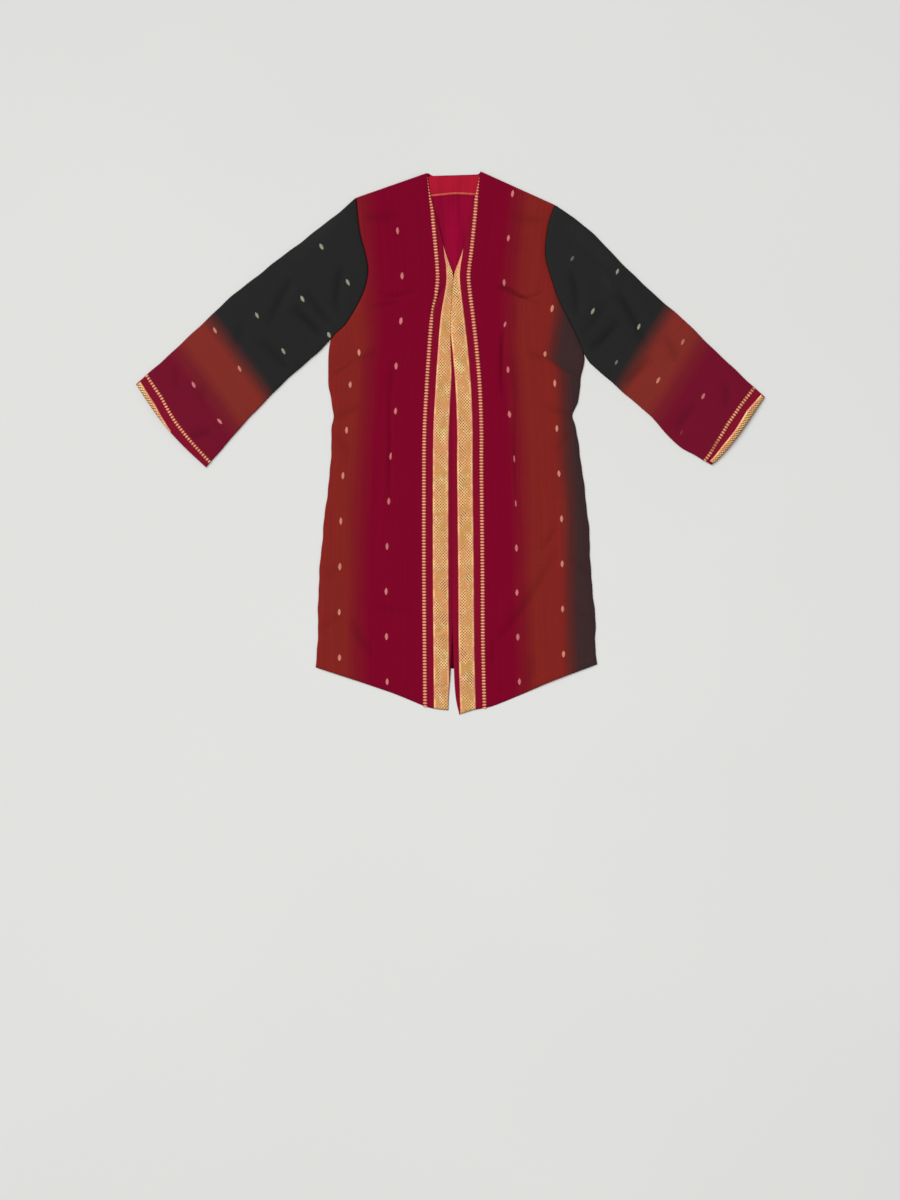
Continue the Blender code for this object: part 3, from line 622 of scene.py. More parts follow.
def near_crease(crease, x, y, reach, count):
    """Which spots lie within reach of a crease: their numbers, each one's way from the nearest point of
    the crease, the crease's heading there, and the share of its length at which that point is."""
    part = np.linspace(0, 1, count)[:, None]
    start, middle, end = np.reshape(crease[1:7], (3, 2))
    curve = (1 - part) ** 2 * start + 2 * part * (1 - part) * middle + part**2 * end
    heading = 2 * (1 - part) * (middle - start) + 2 * part * (end - middle)
    heading /= np.linalg.norm(heading, axis=1, keepdims=True)
    spots = np.stack(np.broadcast_arrays(x, y), -1).reshape(-1, 2)
    near = np.flatnonzero(((spots > curve.min(0) - reach) & (spots < curve.max(0) + reach)).all(1))
    offset = spots[near, None] - curve
    nearest = (offset**2).sum(-1).argmin(1)
    return near, offset[np.arange(len(near)), nearest].T, heading[nearest].T, nearest / (count - 1)


def crease_rise(creases, x, y):
    """How far the creases lift or sink the cloth at each place, and how deep it lies in their shade."""
    total = np.zeros(np.broadcast(x, y).shape)
    shade = np.zeros_like(total)
    for crease in creases:
        near, away, ahead, part = near_crease(crease, x, y, 4 * crease.width, 41)
        sideways = ahead[0] * away[1] - ahead[1] * away[0]
        fade = arch(part) ** 0.6 * bell((ahead * away).sum(0), crease.width)
        lip = crease.lip * bell(sideways - 1.9 * crease.width, 1.5 * crease.width)
        total.reshape(-1)[near] += (crease.rise * bell(sideways, crease.width) + lip) * fade
        shade.reshape(-1)[near] -= crease.rise * fade * bell(sideways, max(0.62 * crease.width, 2.2))
    return total, shade


def cockling(x, y):
    """The slight waves of pressed cloth, from -1 to 1."""
    waves = (
        np.sin(x / 17.0 + 1.1 * np.sin(y / 61.0))
        + np.sin(y / 29.0 + 1.4 * np.sin(x / 43.0) + 0.7)
        + np.sin((x + y) / 37.0 + 2.1)
        + np.sin((x - 0.6 * y) / 23.0 + 0.3)
    )
    return waves / 4


def ripple(distance, phase):
    """How far a loose edge strays to one side or the other as it goes along, in millimetres."""
    return (
        0.55 * np.sin(distance / 13.7 + phase)
        + 0.35 * np.sin(distance / 6.1 + 2.3 * phase)
        + 0.4 * np.sin(distance / 31.0 + 0.7 * phase)
    )


def side_ripple(outward, y, places):
    """The side seam's straying, which stops below the armhole."""
    return ripple(y, 1.0 if outward > 0 else 2.6) * (1 - smooth_step(places - ARMPIT + 1.5))


# ---- The cut pieces' surfaces ------------------------------------------------------------------------


class Front(namedtuple("Front", "sections hem ladder inner outer chest dart creases flowers")):
    """One front: its sections, its lines in the cloth, its dart, its creases and its rows of flowers."""

    last = SHOULDER

    @property
    def outward(self):
        return 1 if self.sections[0].outer_x > 0 else -1

    def bed(self, y):
        """The height of what the front lies on: the back, and below its hem the surface."""
        below_hem = BACK_HEM_Y - BACK_HEM_SAG - DROP_STARTS - y
        return (PANEL_WALL + SEAM_GAP) * (1 - smooth_step(below_hem / DROP_LENGTH))

    def plan(self, places, across):
        row = along(self.sections, places)
        x = lerp(row.inner_x, row.outer_x, across)
        y = lerp(row.inner_y, row.outer_y, across) - row.sag * np.sin(np.pi * across)
        x = x + side_ripple(self.outward, row.outer_y, places) * np.clip(across, 0, 1) ** 6
        shares = np.linspace(0, 1, 61)
        knots = np.interp(shares, [place.across for place in self.hem], np.arange(len(self.hem)))
        dip = np.interp(across, shares, along(self.hem, knots).dip)
        return x, y - dip * (1 - smooth_step(places / HEM_ROWS)), row

    def surface(self, places, across, cloth):
        """(x, y, z) of the underside, in millimetres. Its edges are pressed down, and its hem is doubled."""
        x, y, row = self.plan(places, across)
        rise = row.inner_lift * (1 - across) ** 2 + row.outer_lift * across
        rise = rise + row.hump * arch(across) ** HUMP_FULLNESS
        width = np.abs(row.outer_x - row.inner_x)
        soft = smooth_step(np.minimum(across, 1 - across) * width / EDGE_PRESSED)
        rise = rise + (PANEL_WALL - cloth.wall / MM) * soft
        rise = rise + lerp(EDGE_CREASE, 1, soft) * cloth.crease * crease_rise(self.creases, x, y)[0]
        rise = rise + soft * cloth.cockle / MM * cockling(x, y)
        into_seam = SEAM_SINK * bell((1 - across) * width, SEAM_SINK_WIDTH)
        rise = rise - into_seam * np.where(y > ARMHOLE_Y, 1, SIDE_SINK)
        from_hem = y - self.plan(np.zeros_like(places), across)[1]
        doubled = HEM_LAYER * (1 - smooth_step((from_hem - cloth.hem / MM) / HEM_STEP))
        rise = rise + doubled - HEM_SINK * bell(from_hem, HEM_SINK_WIDTH)
        return x, y, np.maximum(self.bed(y) + rise, self.bed(y) * LEAST_BED)

    def cloth_distance(self, x, y):
        """The distance in the cloth from the ladder line, in millimetres, from the lines woven in it."""
        ladder, inner = line_x(self.ladder, y), line_x(self.inner, y)
        dart = self.dart
        slope = (dart.side_y - dart.tip_y) / (dart.side_x - dart.tip_x)
        past_tip = (x - dart.tip_x) * self.outward
        dart_y = dart.tip_y + slope * self.outward * np.maximum(past_tip, -DART_RUNS_ON)
        spread = DART_STEP + DART_SPREAD * np.maximum(-past_tip, 0.0)
        above_dart = smooth_step((y - dart_y) / spread + 0.5)
        outer = lerp(line_x(self.outer, y), line_x(self.chest, y), above_dart)
        away, inner_away, outer_away = ((at - ladder) * self.outward for at in (x, inner, outer))
        middle = INNER_AT + (away - inner_away) / (outer_away - inner_away) * (OUTER_AT - INNER_AT)
        found = np.where(away < 0, away, away * INNER_AT / inner_away)
        found = np.where(away > inner_away, middle, found)
        return np.where(away > outer_away, OUTER_AT + (away - outer_away), found)

    def across_at(self, places, wanted):
        """How far across each row lies the point with x = wanted(y), and the row's width."""
        row = along(self.sections, places)
        across = np.zeros_like(places)
        for _ in range(6):
            y = self.plan(places, across)[1]
            across = np.clip((wanted(y) - row.inner_x) / (row.outer_x - row.inner_x), 0.0, 1.0)
        return across, np.abs(row.outer_x - row.inner_x)

    def from_ladder(self, distance):
        """The line that lies so far from the ladder line, in metres, towards the free edge: x at any y."""
        return lambda y: line_x(self.ladder, y) - self.outward * distance / MM

    def free_edge(self, y):
        """X of the free edge at each height."""
        fine = along(self.sections, np.linspace(0, self.last, 600))
        return np.interp(y, fine.inner_y, fine.inner_x)

    def seam_shade_distance(self, x, y, places, across):
        """The distance to the nearest sewn seam or dart, in millimetres, for the painted shade in its ditch.
        """
        row = along(self.sections, places)
        side = (1 - across) * np.abs(row.outer_x - row.inner_x)
        found = np.minimum(np.where(places > ARMPIT, side, side + 3), FAR_FROM_SEAM)
        for crease in self.creases:
            if crease.name in SEWN_DARTS:
                near, away, _, _ = near_crease(crease, x, y, FAR_FROM_SEAM + 1, 60)
                away = np.hypot(*away) + SEWN_DARTS[crease.name]
                found.reshape(-1)[near] = np.minimum(found.reshape(-1)[near], away)
        return found


class Sleeve(namedtuple("Sleeve", "rings mouth edge cuff dull cloth creases")):
    """One sleeve: its rings, the armhole that its first ring follows, its cuff, its cloth and its creases."""

    last = CUFF

    @property
    def outward(self):
        return 1 if self.rings[0].top_x > 0 else -1

    def plan(self, places, across):
        ring = along(self.rings, places)
        x = lerp(ring.under_x, ring.top_x, across)
        y = lerp(ring.under_y, ring.top_y, across)
        loose = smooth_step(places / STRAYS_FROM) * smooth_step((self.last - places) / STRAYS_TO)
        upper = ripple(ring.top_x, 0.4) * np.clip(across, 0, 1) ** 6
        under = ripple(ring.under_x, 1.9) * (1 - np.clip(across, 0, 1)) ** 6
        y = y + FOLD_STRAYS * loose * (upper - under)
        shares = np.linspace(0, 1, len(self.mouth))
        hollow = (1 - smooth_step(places / ARMHOLE_REACH)) ** 2
        first, cuff = self.rings[0], self.rings[-1]
        mouth_x, mouth_y = (np.interp(across, shares, at) for at in self.mouth.T)
        x = x + hollow * (mouth_x - lerp(first.under_x, first.top_x, across))
        y = y + hollow * (mouth_y - lerp(first.under_y, first.top_y, across))
        edge_x, edge_y = cuff.top_x - cuff.under_x, cuff.top_y - cuff.under_y
        bow = self.edge.bow * np.sin(np.pi * np.clip(across, 0, 1) ** self.edge.lean)
        bow = bow * smooth_step(1 - (self.last - places) / CUFF_REACH)
        bow = self.outward * bow / math.hypot(edge_x, edge_y)
        return x + bow * edge_y, y - bow * edge_x

    def width(self, places):
        ring = along(self.rings, places)
        return np.hypot(ring.top_x - ring.under_x, ring.top_y - ring.under_y)

    def surface(self, places, across, cloth):
        """(x, y, z) of the upper surface, in millimetres."""
        x, y = self.plan(places, across)
        rise = FOLD_HEIGHT + along(self.rings, places).crown * arch(across) ** HUMP_FULLNESS
        soft = smooth_step(np.minimum(across, 1 - across) * self.width(places) / FOLD_PRESSED)
        rise = rise + soft * cloth.crease * crease_rise(self.creases, x, y)[0]
        rise = rise + soft * cloth.cockle / MM * cockling(x, y)
        rise = rise - ARMHOLE_SINK * bell(places * RING_LENGTH, ARMHOLE_SINK_WIDTH)
        return x, y, np.maximum(rise, PANEL_WALL)

    def heading(self):
        """The direction of the ladder line at the cuff, from the top fold."""
        cloth = self.cloth
        return math.atan2(cloth.foot_y - cloth.line_y, cloth.foot_x - cloth.line_x)

    def cloth_place(self, x, y):
        """(distance from the ladder line, distance along it) in the cloth, in millimetres."""
        run_x, run_y = math.cos(self.heading()), math.sin(self.heading())
        off_x, off_y = x - self.cloth.line_x, y - self.cloth.line_y
        return (off_x * run_y - off_y * run_x) * self.outward, off_x * run_x + off_y * run_y

    def from_cloth(self, away, down):
        """The plan's point at a place in the cloth: the way back from cloth_place."""
        run_x, run_y = math.cos(self.heading()), math.sin(self.heading())
        away = away * self.outward
        x = self.cloth.line_x + down * run_x + away * run_y
        y = self.cloth.line_y + down * run_y - away * run_x
        return x, y


def place_of(piece, x, y):
    """(place, across) of the piece's point nearest to one given in plan, and how far it is from it."""
    grid = np.meshgrid(np.linspace(0, piece.last, 60 * piece.last + 1), np.linspace(0, 1, 241), indexing="ij")
    plan_x, plan_y = piece.plan(*grid)[:2]
    away = np.hypot(plan_x - x, plan_y - y)
    nearest = away.argmin()
    place, across = (numbers.reshape(-1)[nearest : nearest + 1] for numbers in grid)
    return place, across, away.reshape(-1)[nearest]


def armhole(sections, cells=6):
    """The armhole's points from armpit to shoulder tip, a seam's gap outside the panels."""
    outward = 1 if sections[0].outer_x > 0 else -1
    row = along(sections, np.linspace(ARMPIT, SHOULDER, (SHOULDER - ARMPIT) * cells + 1))
    edge = np.stack([row.outer_x, row.outer_y], 1)
    step = np.gradient(edge, axis=0)
    step /= np.linalg.norm(step, axis=1, keepdims=True)
    gap = np.full(len(edge), ARMHOLE_GAP)
    gap[[0, -1]] += PANEL_WALL
    return edge + (outward * gap)[:, None] * np.stack([step[:, 1], -step[:, 0]], 1)


LEFT = Front(
    FRONT_LEFT, HEM_LEFT, LADDER_LEFT, INNER_LEFT, OUTER_LEFT, CHEST_LEFT, DART_LEFT, CREASES_LEFT,
    FLOWERS_LEFT,
)
RIGHT = Front(
    FRONT_RIGHT, HEM_RIGHT, LADDER_RIGHT, INNER_RIGHT, OUTER_RIGHT, CHEST_RIGHT, DART_RIGHT, CREASES_RIGHT,
    FLOWERS_RIGHT,
)
ARM_LEFT = Sleeve(
    SLEEVE_LEFT, armhole(FRONT_LEFT), EDGE_LEFT, CUFF_LEFT, RUNGS_DIM_LEFT, CLOTH_LEFT, CREASES_SLEEVE_LEFT
)
ARM_RIGHT = Sleeve(
    SLEEVE_RIGHT, armhole(FRONT_RIGHT), EDGE_RIGHT, CUFF_RIGHT, RUNGS_DIM_RIGHT, CLOTH_RIGHT, CREASES_SLEEVE_RIGHT
)


# ---- Meshes ------------------------------------------------------------------------------------------


def even_places(piece, across, cell):
    """Places along a piece, as far apart as a cell at a share of the way across."""
    fine = np.linspace(0, piece.last, 40 * piece.last + 1)
    so_far = run_length(np.stack(piece.plan(fine, np.full_like(fine, across))[:2], -1))
    count = max(int(round(so_far[-1] / cell)), 2)
    return np.interp(np.linspace(0, so_far[-1], count + 1), so_far, fine)


def cells(places, count):
    """A grid of places and shares of the way across."""
    return np.meshgrid(places, np.linspace(0, 1, count + 1), indexing="ij")


def grid_mesh(name, points, cloth, seam=None, shade=None, tube=False):
    """A mesh through a grid of points in millimetres, with its place in the cloth as a UV map.

    seam is the distance to the nearest seam, for the painted shade in its ditch, and shade how deep a place
    lies in painted shade.
    """
    mesh = bpy.data.meshes.new(name)
    count, columns = points.shape[:2]
    start = np.arange(count - 1)[:, None] * columns
    here = np.arange(columns if tube else columns - 1)[None]
    low, beside = start + here, start + (here + 1) % columns
    faces = np.stack([low, beside, beside + columns, low + columns], -1).reshape(-1, 4)
    flat = points.reshape(-1, 3)
    corner = flat[faces]
    normal = np.cross(corner[:, 1] - corner[:, 0], corner[:, 3] - corner[:, 0])
    weight = corner[:, :, 2].mean(1) if tube else 1.0
    if (normal[:, 2] * weight).sum() < 0:
        faces = faces[:, ::-1]
    mesh.vertices.add(len(flat))
    mesh.vertices.foreach_set("co", (flat * MM).astype(np.float32).ravel())
    mesh.loops.add(faces.size)
    mesh.loops.foreach_set("vertex_index", faces.astype(np.int32).ravel())
    mesh.polygons.add(len(faces))
    mesh.polygons.foreach_set("loop_start", np.arange(0, faces.size, 4, dtype=np.int32))
    mesh.update(calc_edges=True)
    mesh.validate()
    layer = mesh.uv_layers.new(name="cloth")
    layer.uv.foreach_set("vector", (cloth.reshape(-1, 2) * MM).astype(np.float32)[faces.ravel()].ravel())
    for label, numbers in (("seam", seam), ("shade", shade)):
        if numbers is not None:
            attribute = mesh.attributes.new(label, "FLOAT", "POINT")
            attribute.data.foreach_set("value", numbers.reshape(-1).astype(np.float32))
    mesh.shade_smooth()
    return mesh


def place_piece(name, mesh, material, wall=0.0, inwards=False):
    """Puts a finished piece in the scene, riding on the blouse. A piece with a wall is a strip of cloth that
    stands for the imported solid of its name, and one without is thread."""
    piece = bpy.data.objects.new(name, mesh)
    bpy.context.scene.collection.objects.link(piece)
    mesh.materials.clear()
    mesh.materials.append(material)
    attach(piece, BODY)
    if wall:
        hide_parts(name)
        solidify = piece.modifiers.new("cloth", "SOLIDIFY")
        solidify.thickness = wall
        solidify.offset = -1.0 if inwards else 1.0
    return piece


def front_mesh(name, front, cloth):
    places = even_places(front, 0.4, cloth.cell / MM)
    grid = cells(places, int(round(FRONT_ACROSS / (cloth.cell / MM))))
    x, y, z = front.surface(*grid, cloth)
    on_cloth = np.stack([front.cloth_distance(x, y), y], -1)
    shade = crease_rise(front.creases, x, y)[1]
    return grid_mesh(name, np.stack([x, y, z], -1), on_cloth, front.seam_shade_distance(x, y, *grid), shade)


def back_mesh(cloth):
    places = even_places(LEFT, 1.0, cloth.back_cell / MM)
    place, across = cells(places, int(round(BACK_ACROSS / (cloth.back_cell / MM))))
    right, left = along(FRONT_RIGHT, place), along(FRONT_LEFT, place)
    right_x = right.outer_x + side_ripple(-1, right.outer_y, place)
    left_x = left.outer_x + side_ripple(1, left.outer_y, place)
    x = lerp(right_x, left_x, across)
    y = lerp(right.outer_y, left.outer_y, across)
    y = y + smooth_step((place - ARMPIT) / (SHOULDER - ARMPIT)) * column(BACK_TOP, 1, across)
    y = y - (1 - smooth_step(place / HEM_ROWS)) * BACK_HEM_SAG * np.sin(np.pi * across)
    on_cloth = np.stack([np.abs(x), y], -1)
    # Painted shade where the fronts part; a short seam distance there adds the seams' painted shade to it.
    shade = SLIT_SHADE * bell(x - SLIT_X, SLIT_WIDTH) * smooth_step((SLIT_TOP_Y - y) / SLIT_FADE)
    seam = FAR_FROM_SEAM * (1 - np.clip(shade, 0, 1))
    return grid_mesh("back", np.stack([x, y, np.zeros_like(x)], -1), on_cloth, seam, shade)


def sleeve_mesh(name, sleeve, cloth):
    """Rings of the flattened tube: its flat underside, the top fold, its upper side, the under fold."""
    places = even_places(sleeve, 0.5, cloth.sleeve_cell / MM)
    radius = FOLD_HEIGHT / 2
    inset = radius / sleeve.width(places)[:, None]
    place, across = cells(places, int(round(SLEEVE_ACROSS / (cloth.sleeve_cell / MM))))
    inner = inset + (1 - 2 * inset) * across
    low_x, low_y = sleeve.plan(place, inner)
    turn = np.radians([-60, -30, 0, 30, 60])[None]
    fold_place = np.repeat(places[:, None], 5, 1)
    fold_z = np.repeat(radius + radius * np.sin(turn), len(places), 0)
    top_fold = sleeve.plan(fold_place, 1 - inset + inset * np.cos(turn))
    under_fold = sleeve.plan(fold_place, inset - inset * np.cos(turn))
    parts = (
        np.stack([low_x, low_y, np.zeros_like(low_x)], -1),
        np.stack([*top_fold, fold_z], -1),
        np.stack(sleeve.surface(place, inner, cloth), -1)[:, ::-1],
        np.stack([*under_fold, fold_z], -1)[:, ::-1],
    )
    points = np.concatenate(parts, 1)
    away, down = sleeve.cloth_place(points[..., 0], points[..., 1])
    on_cloth = np.stack([away + sleeve.cloth.dye_slant * (down - CLOTH_MIDDLE), down], -1)
    # The distance from the armhole's seam, for the painted shade in its ditch.
    seam = np.repeat(places[:, None] * RING_LENGTH, points.shape[1], 1)
    shade = crease_rise(sleeve.creases, points[..., 0], points[..., 1])[1]
    return grid_mesh(name, points, on_cloth, seam, shade, tube=True)


def strip_top(front, near, far, least):
    """The highest place on a front at which a strip is at least so wide, near and far being its edges."""
    fine = np.linspace(STRIP_FOOT, front.last, 4000)
    start, width = front.across_at(fine, near)
    return fine[(front.across_at(fine, far)[0] - start) * width >= least][-1]


def front_strip(name, front, near, far, least, cell, columns, cloth):
    """A strip on a front, from the hem to where the neckline cuts it off."""
    top = strip_top(front, near, far, least)
    places = even_places(front, 0.2, cell)
    places = np.concatenate([[STRIP_FOOT], places[(places > 0.02) & (places < top)], [top]])
    start, width = front.across_at(places, near)
    end = front.across_at(places, far)[0]
    inset = STRIP_INSET / width
    start, end = np.maximum(start, inset), np.maximum(end, inset * 1.5)
    across = lerp(start[:, None], end[:, None], np.linspace(0, 1, columns + 1)[None])
    x, y, z = front.surface(np.repeat(places[:, None], columns + 1, 1), across, cloth)
    away = (x - line_x(front.ladder, y)) * front.outward
    down = y + (0 if front.outward > 0 else RIGHT_STRIP_DOWN)
    points = np.stack([x, y, z + cloth.wall / MM + BORDER_LIFT], -1)
    return grid_mesh(name, points, np.stack([away, down], -1), shade=crease_rise(front.creases, x, y)[1])


def ladder_middle(front, border, cloth):
    """Points down the middle of a front's ladder line, and how long its rungs are there."""
    near, far = front.from_ladder(border.ladder_width / 2), front.from_ladder(-border.ladder_width / 2)
    places = np.linspace(3 * STRIP_FOOT, strip_top(front, near, far, LEAST_RUNG), 700)
    start, width = front.across_at(places, near)
    end = front.across_at(places, far)[0]
    start = np.maximum(start, RUNG_INSET / width)
    x, y, z = front.surface(places, (start + end) / 2, cloth)
    points = np.stack([x, y, z + cloth.wall / MM + BORDER_LIFT + THREAD_LIFT], -1)
    return points, (end - start) * width * MM


def cuff_strip(name, sleeve, start, end, border, cloth, ladder=False):
    """A strip on a sleeve's upper side near the cuff, the ladder line or the gold band, and its middle."""
    across = np.linspace(start, end, 90)
    back = np.linspace(sleeve.last, sleeve.last - 1, 120)
    lines = np.stack(sleeve.plan(*np.meshgrid(back, across, indexing="ij")), -1)
    inward_at = run_length(lines)
    if ladder:
        middle = column(sleeve.cuff, LADDER_IN, across)
        near, far = (middle + side * border.ladder_width / MM / 2 for side in (-1, 1))
        line = middle
    else:
        near = np.full_like(across, CUFF_INSET)
        far = np.maximum(column(sleeve.cuff, BAND_OUT, across), LEAST_CUFF_BAND)
        # The band's inner edge has its salmon line here, and the rest of the band is turned inside.
        line = far + border.band_starts / MM
    columns = 5
    inward = lerp(near[:, None], far[:, None], np.linspace(0, 1, columns)[None])
    places = np.stack([np.interp(row, inward_at[:, k], back) for k, row in enumerate(inward)])
    x, y, z = sleeve.surface(places, np.repeat(across[:, None], columns, 1), cloth)
    points = np.stack([x, y, z + BORDER_LIFT], -1)
    run = np.repeat(run_length(lines[0])[:, None], columns, 1)
    mesh = grid_mesh(name, points, np.stack([inward - line[:, None], run], -1))
    return mesh, points[:, columns // 2] + [0, 0, THREAD_LIFT]


# ---- Materials ---------------------------------------------------------------------------------------


class Tree:
    """A node tree being built. An input given as a socket is linked, and a value is set."""

    def __init__(self, nodes, shader=None):
        self.nodes = nodes
        self.shader = shader
        self.place_in_cloth = None

    def add(self, kind, inputs=None, **settings):
        node = self.nodes.nodes.new(kind)
        for name, value in settings.items():
            setattr(node, name, value)
        for name, value in (inputs or {}).items():
            self.put(node.inputs[name], value)
        return node

    def put(self, socket, value):
        if isinstance(value, bpy.types.NodeSocket):
            self.nodes.links.new(value, socket)
        else:
            socket.default_value = value

    def sum(self, operation, first, second=0.0, third=0.0):
        """One Math node's result."""
        return self.add("ShaderNodeMath", {0: first, 1: second, 2: third}, operation=operation).outputs[0]

    def times(self, first, second):
        return self.sum("MULTIPLY", first, second)

    def plus(self, first, second):
        return self.sum("ADD", first, second)

    def strayed(self, value, noise, by):
        """A value moved up or down by a noise."""
        return self.sum("MULTIPLY_ADD", noise, by, self.sum("SUBTRACT", value, by / 2))

    def wave(self, place, pitch):
        """0 to 1 and back once in each pitch."""
        return self.sum("MULTIPLY_ADD", self.sum("SINE", self.times(place, 2 * math.pi / pitch)), 0.5, 0.5)

    def between(self, value, low, high, to_low=0.0, to_high=1.0, kind="SMOOTHSTEP"):
        inputs = {"Value": value, 1: low, 2: high, 3: to_low, 4: to_high}
        return self.add("ShaderNodeMapRange", inputs, interpolation_type=kind).outputs[0]

    def mix(self, part, first, second, blend="MIX"):
        """A mix of two colours, each a colour or a socket."""
        first, second = (
            value if isinstance(value, bpy.types.NodeSocket) else (*value, 1.0) for value in (first, second)
        )
        inputs = {0: part, 6: first, 7: second}
        return self.add("ShaderNodeMix", inputs, data_type="RGBA", blend_type=blend).outputs[2]

    def vector(self, x, y, z=0.0):
        return self.add("ShaderNodeCombineXYZ", {0: x, 1: y, 2: z}).outputs[0]

    def object_place(self):
        return self.add("ShaderNodeTexCoord").outputs["Object"]

    def noise(self, vector, scale=1.0, detail=2.0, roughness=0.5):
        inputs = {"Vector": vector, "Scale": scale, "Detail": detail, "Roughness": roughness}
        return self.add("ShaderNodeTexNoise", inputs).outputs["Fac"]

    def cloth(self):
        """The two distances in the cloth: from the ladder line, and along it."""
        if not self.place_in_cloth:
            split = {0: self.add("ShaderNodeUVMap", uv_map="cloth").outputs[0]}
            self.place_in_cloth = self.add("ShaderNodeSeparateXYZ", split).outputs
        return self.place_in_cloth[0], self.place_in_cloth[1]

    def grain(self, over_across, over_down, detail=2.0, roughness=0.5, turn=0.0):
        """Noise in the cloth, so fine across it and down it."""
        across, down = self.cloth()
        spot = self.vector(self.times(across, over_across), self.times(down, over_down), turn)
        return self.noise(spot, 1.0, detail, roughness)

    def attribute(self, name):
        return self.add("ShaderNodeAttribute", attribute_name=name).outputs["Fac"]

    def shade(self):
        """Painted shade and light: less in a crease's trough or other shade, a little more on a ridge."""
        return self.between(self.attribute("shade"), -0.9, 1.8, 1.25, 0.5, "LINEAR")

    def base(self, paint, tone):
        """Sets the shader's colour: a paint, made so much lighter or darker."""
        toned = self.mix(1.0, paint, self.vector(tone, tone, tone), "MULTIPLY")
        self.put(self.shader.inputs["Base Color"], toned)

    def bump(self, strength, distance, height):
        inputs = {"Strength": strength, "Distance": distance, "Height": height}
        self.put(self.shader.inputs["Normal"], self.add("ShaderNodeBump", inputs).outputs[0])

    def weave(self, yarn, strength=0.35, extra=None):
        """Plain weave: yarns over and under each other, with slubs."""
        warp, weft = (self.times(self.wave(place, yarn), 0.5) for place in self.cloth())
        height = self.sum("MULTIPLY_ADD", self.grain(900, 40, 3.0), 1.2, self.plus(warp, weft))
        if extra is not None:
            height = self.plus(height, extra)
        self.bump(strength, 0.00012, height)


def new_material(name, roughness, specular, metallic=0.0, tint=(1.0, 1.0, 1.0)):
    """A material and its tree, with what is the same all over it set on the shader."""
    material = bpy.data.materials.new(name)
    material.use_nodes = True
    shader = material.node_tree.nodes["Principled BSDF"]
    shader.inputs["Roughness"].default_value = roughness
    shader.inputs["Metallic"].default_value = metallic
    shader.inputs["Specular IOR Level"].default_value = specular
    shader.inputs["Specular Tint"].default_value = (*tint, 1.0)
    return material, Tree(material.node_tree, shader)


# The part of the cloth that the dye's ramp covers, in metres from the ladder line.
RAMP_START = -0.06
RAMP_SPAN = 0.45


def brocade(name, colours, cloth):
    """A panel's brocade, dyed in stripes along its warp, whose threads mix where the colours turn."""
    if name.startswith("sleeve"):
        crimson, rust, dark = colours.sleeve_crimson, colours.sleeve_rust, colours.black
        material, tree = new_material(f"brocade_{name}", 0.58, 0.06)
    else:
        crimson, rust, dark = colours.crimson, colours.rust, colours.side_dark
        material, tree = new_material(f"brocade_{name}", 0.58, 0.12, tint=(1.0, 0.15, 0.2))
    moved = tree.strayed(tree.cloth()[0], tree.grain(520, 5), 0.014)
    moved = tree.strayed(moved, tree.grain(12, 5, 1.0), 0.012)
    along_ramp = tree.between(moved, RAMP_START, RAMP_START + RAMP_SPAN, kind="LINEAR")
    ramp = tree.add("ShaderNodeValToRGB", {0: along_ramp})
    stops = dye_stops(DYES[name], crimson[:], rust[:], dark[:], colours)
    elements = ramp.color_ramp.elements
    while len(elements) < len(stops):
        elements.new(0.5)
    for element, (distance, _) in zip(elements, stops):
        element.position = (distance * MM - RAMP_START) / RAMP_SPAN
    for element, (_, paint) in zip(elements, stops):
        element.color = (*paint, 1.0)
    streaks, picks = tree.grain(260, 4, 3.0, 0.6), tree.grain(30, 500, 2.0, 0.6)
    tone = tree.plus(tree.between(streaks, 0.3, 0.7, 0.93, 1.05), tree.between(picks, 0.3, 0.7, -0.03, 0.03))
    # Painted shade: darker close to a seam or dart, in its ditch, and on the back where the fronts part.
    tone = tree.times(tone, tree.between(tree.attribute("seam"), 0.4, 2.2, 0.62, 1.0))
    tree.base(ramp.outputs[0], tree.times(tone, tree.shade()))
    tree.put(tree.shader.inputs["Roughness"], tree.between(streaks, 0.2, 0.8, 0.56, 0.70))
    tree.weave(cloth.yarn)
    return material


def dye_stops(dye, crimson, rust, dark, colours):
    """(distance, colour) pairs from the selvedge to the dark."""
    rust_at, dark_at = dye
    red, umber = colours.border_red[:], colours.umber[:]
    turning = tuple(lerp(a, b, 0.4) * 0.95 for a, b in zip(crimson, rust))
    return (
        (-60, red),
        (-6, red),
        (2, crimson),
        (rust_at - 26, crimson),
        (rust_at - 2, turning),
        (rust_at + 20, rust),
        (dark_at - 18, rust),
        (dark_at + 1, umber),
        (dark_at + 16, dark),
        (dark_at + 60, dark),
    )


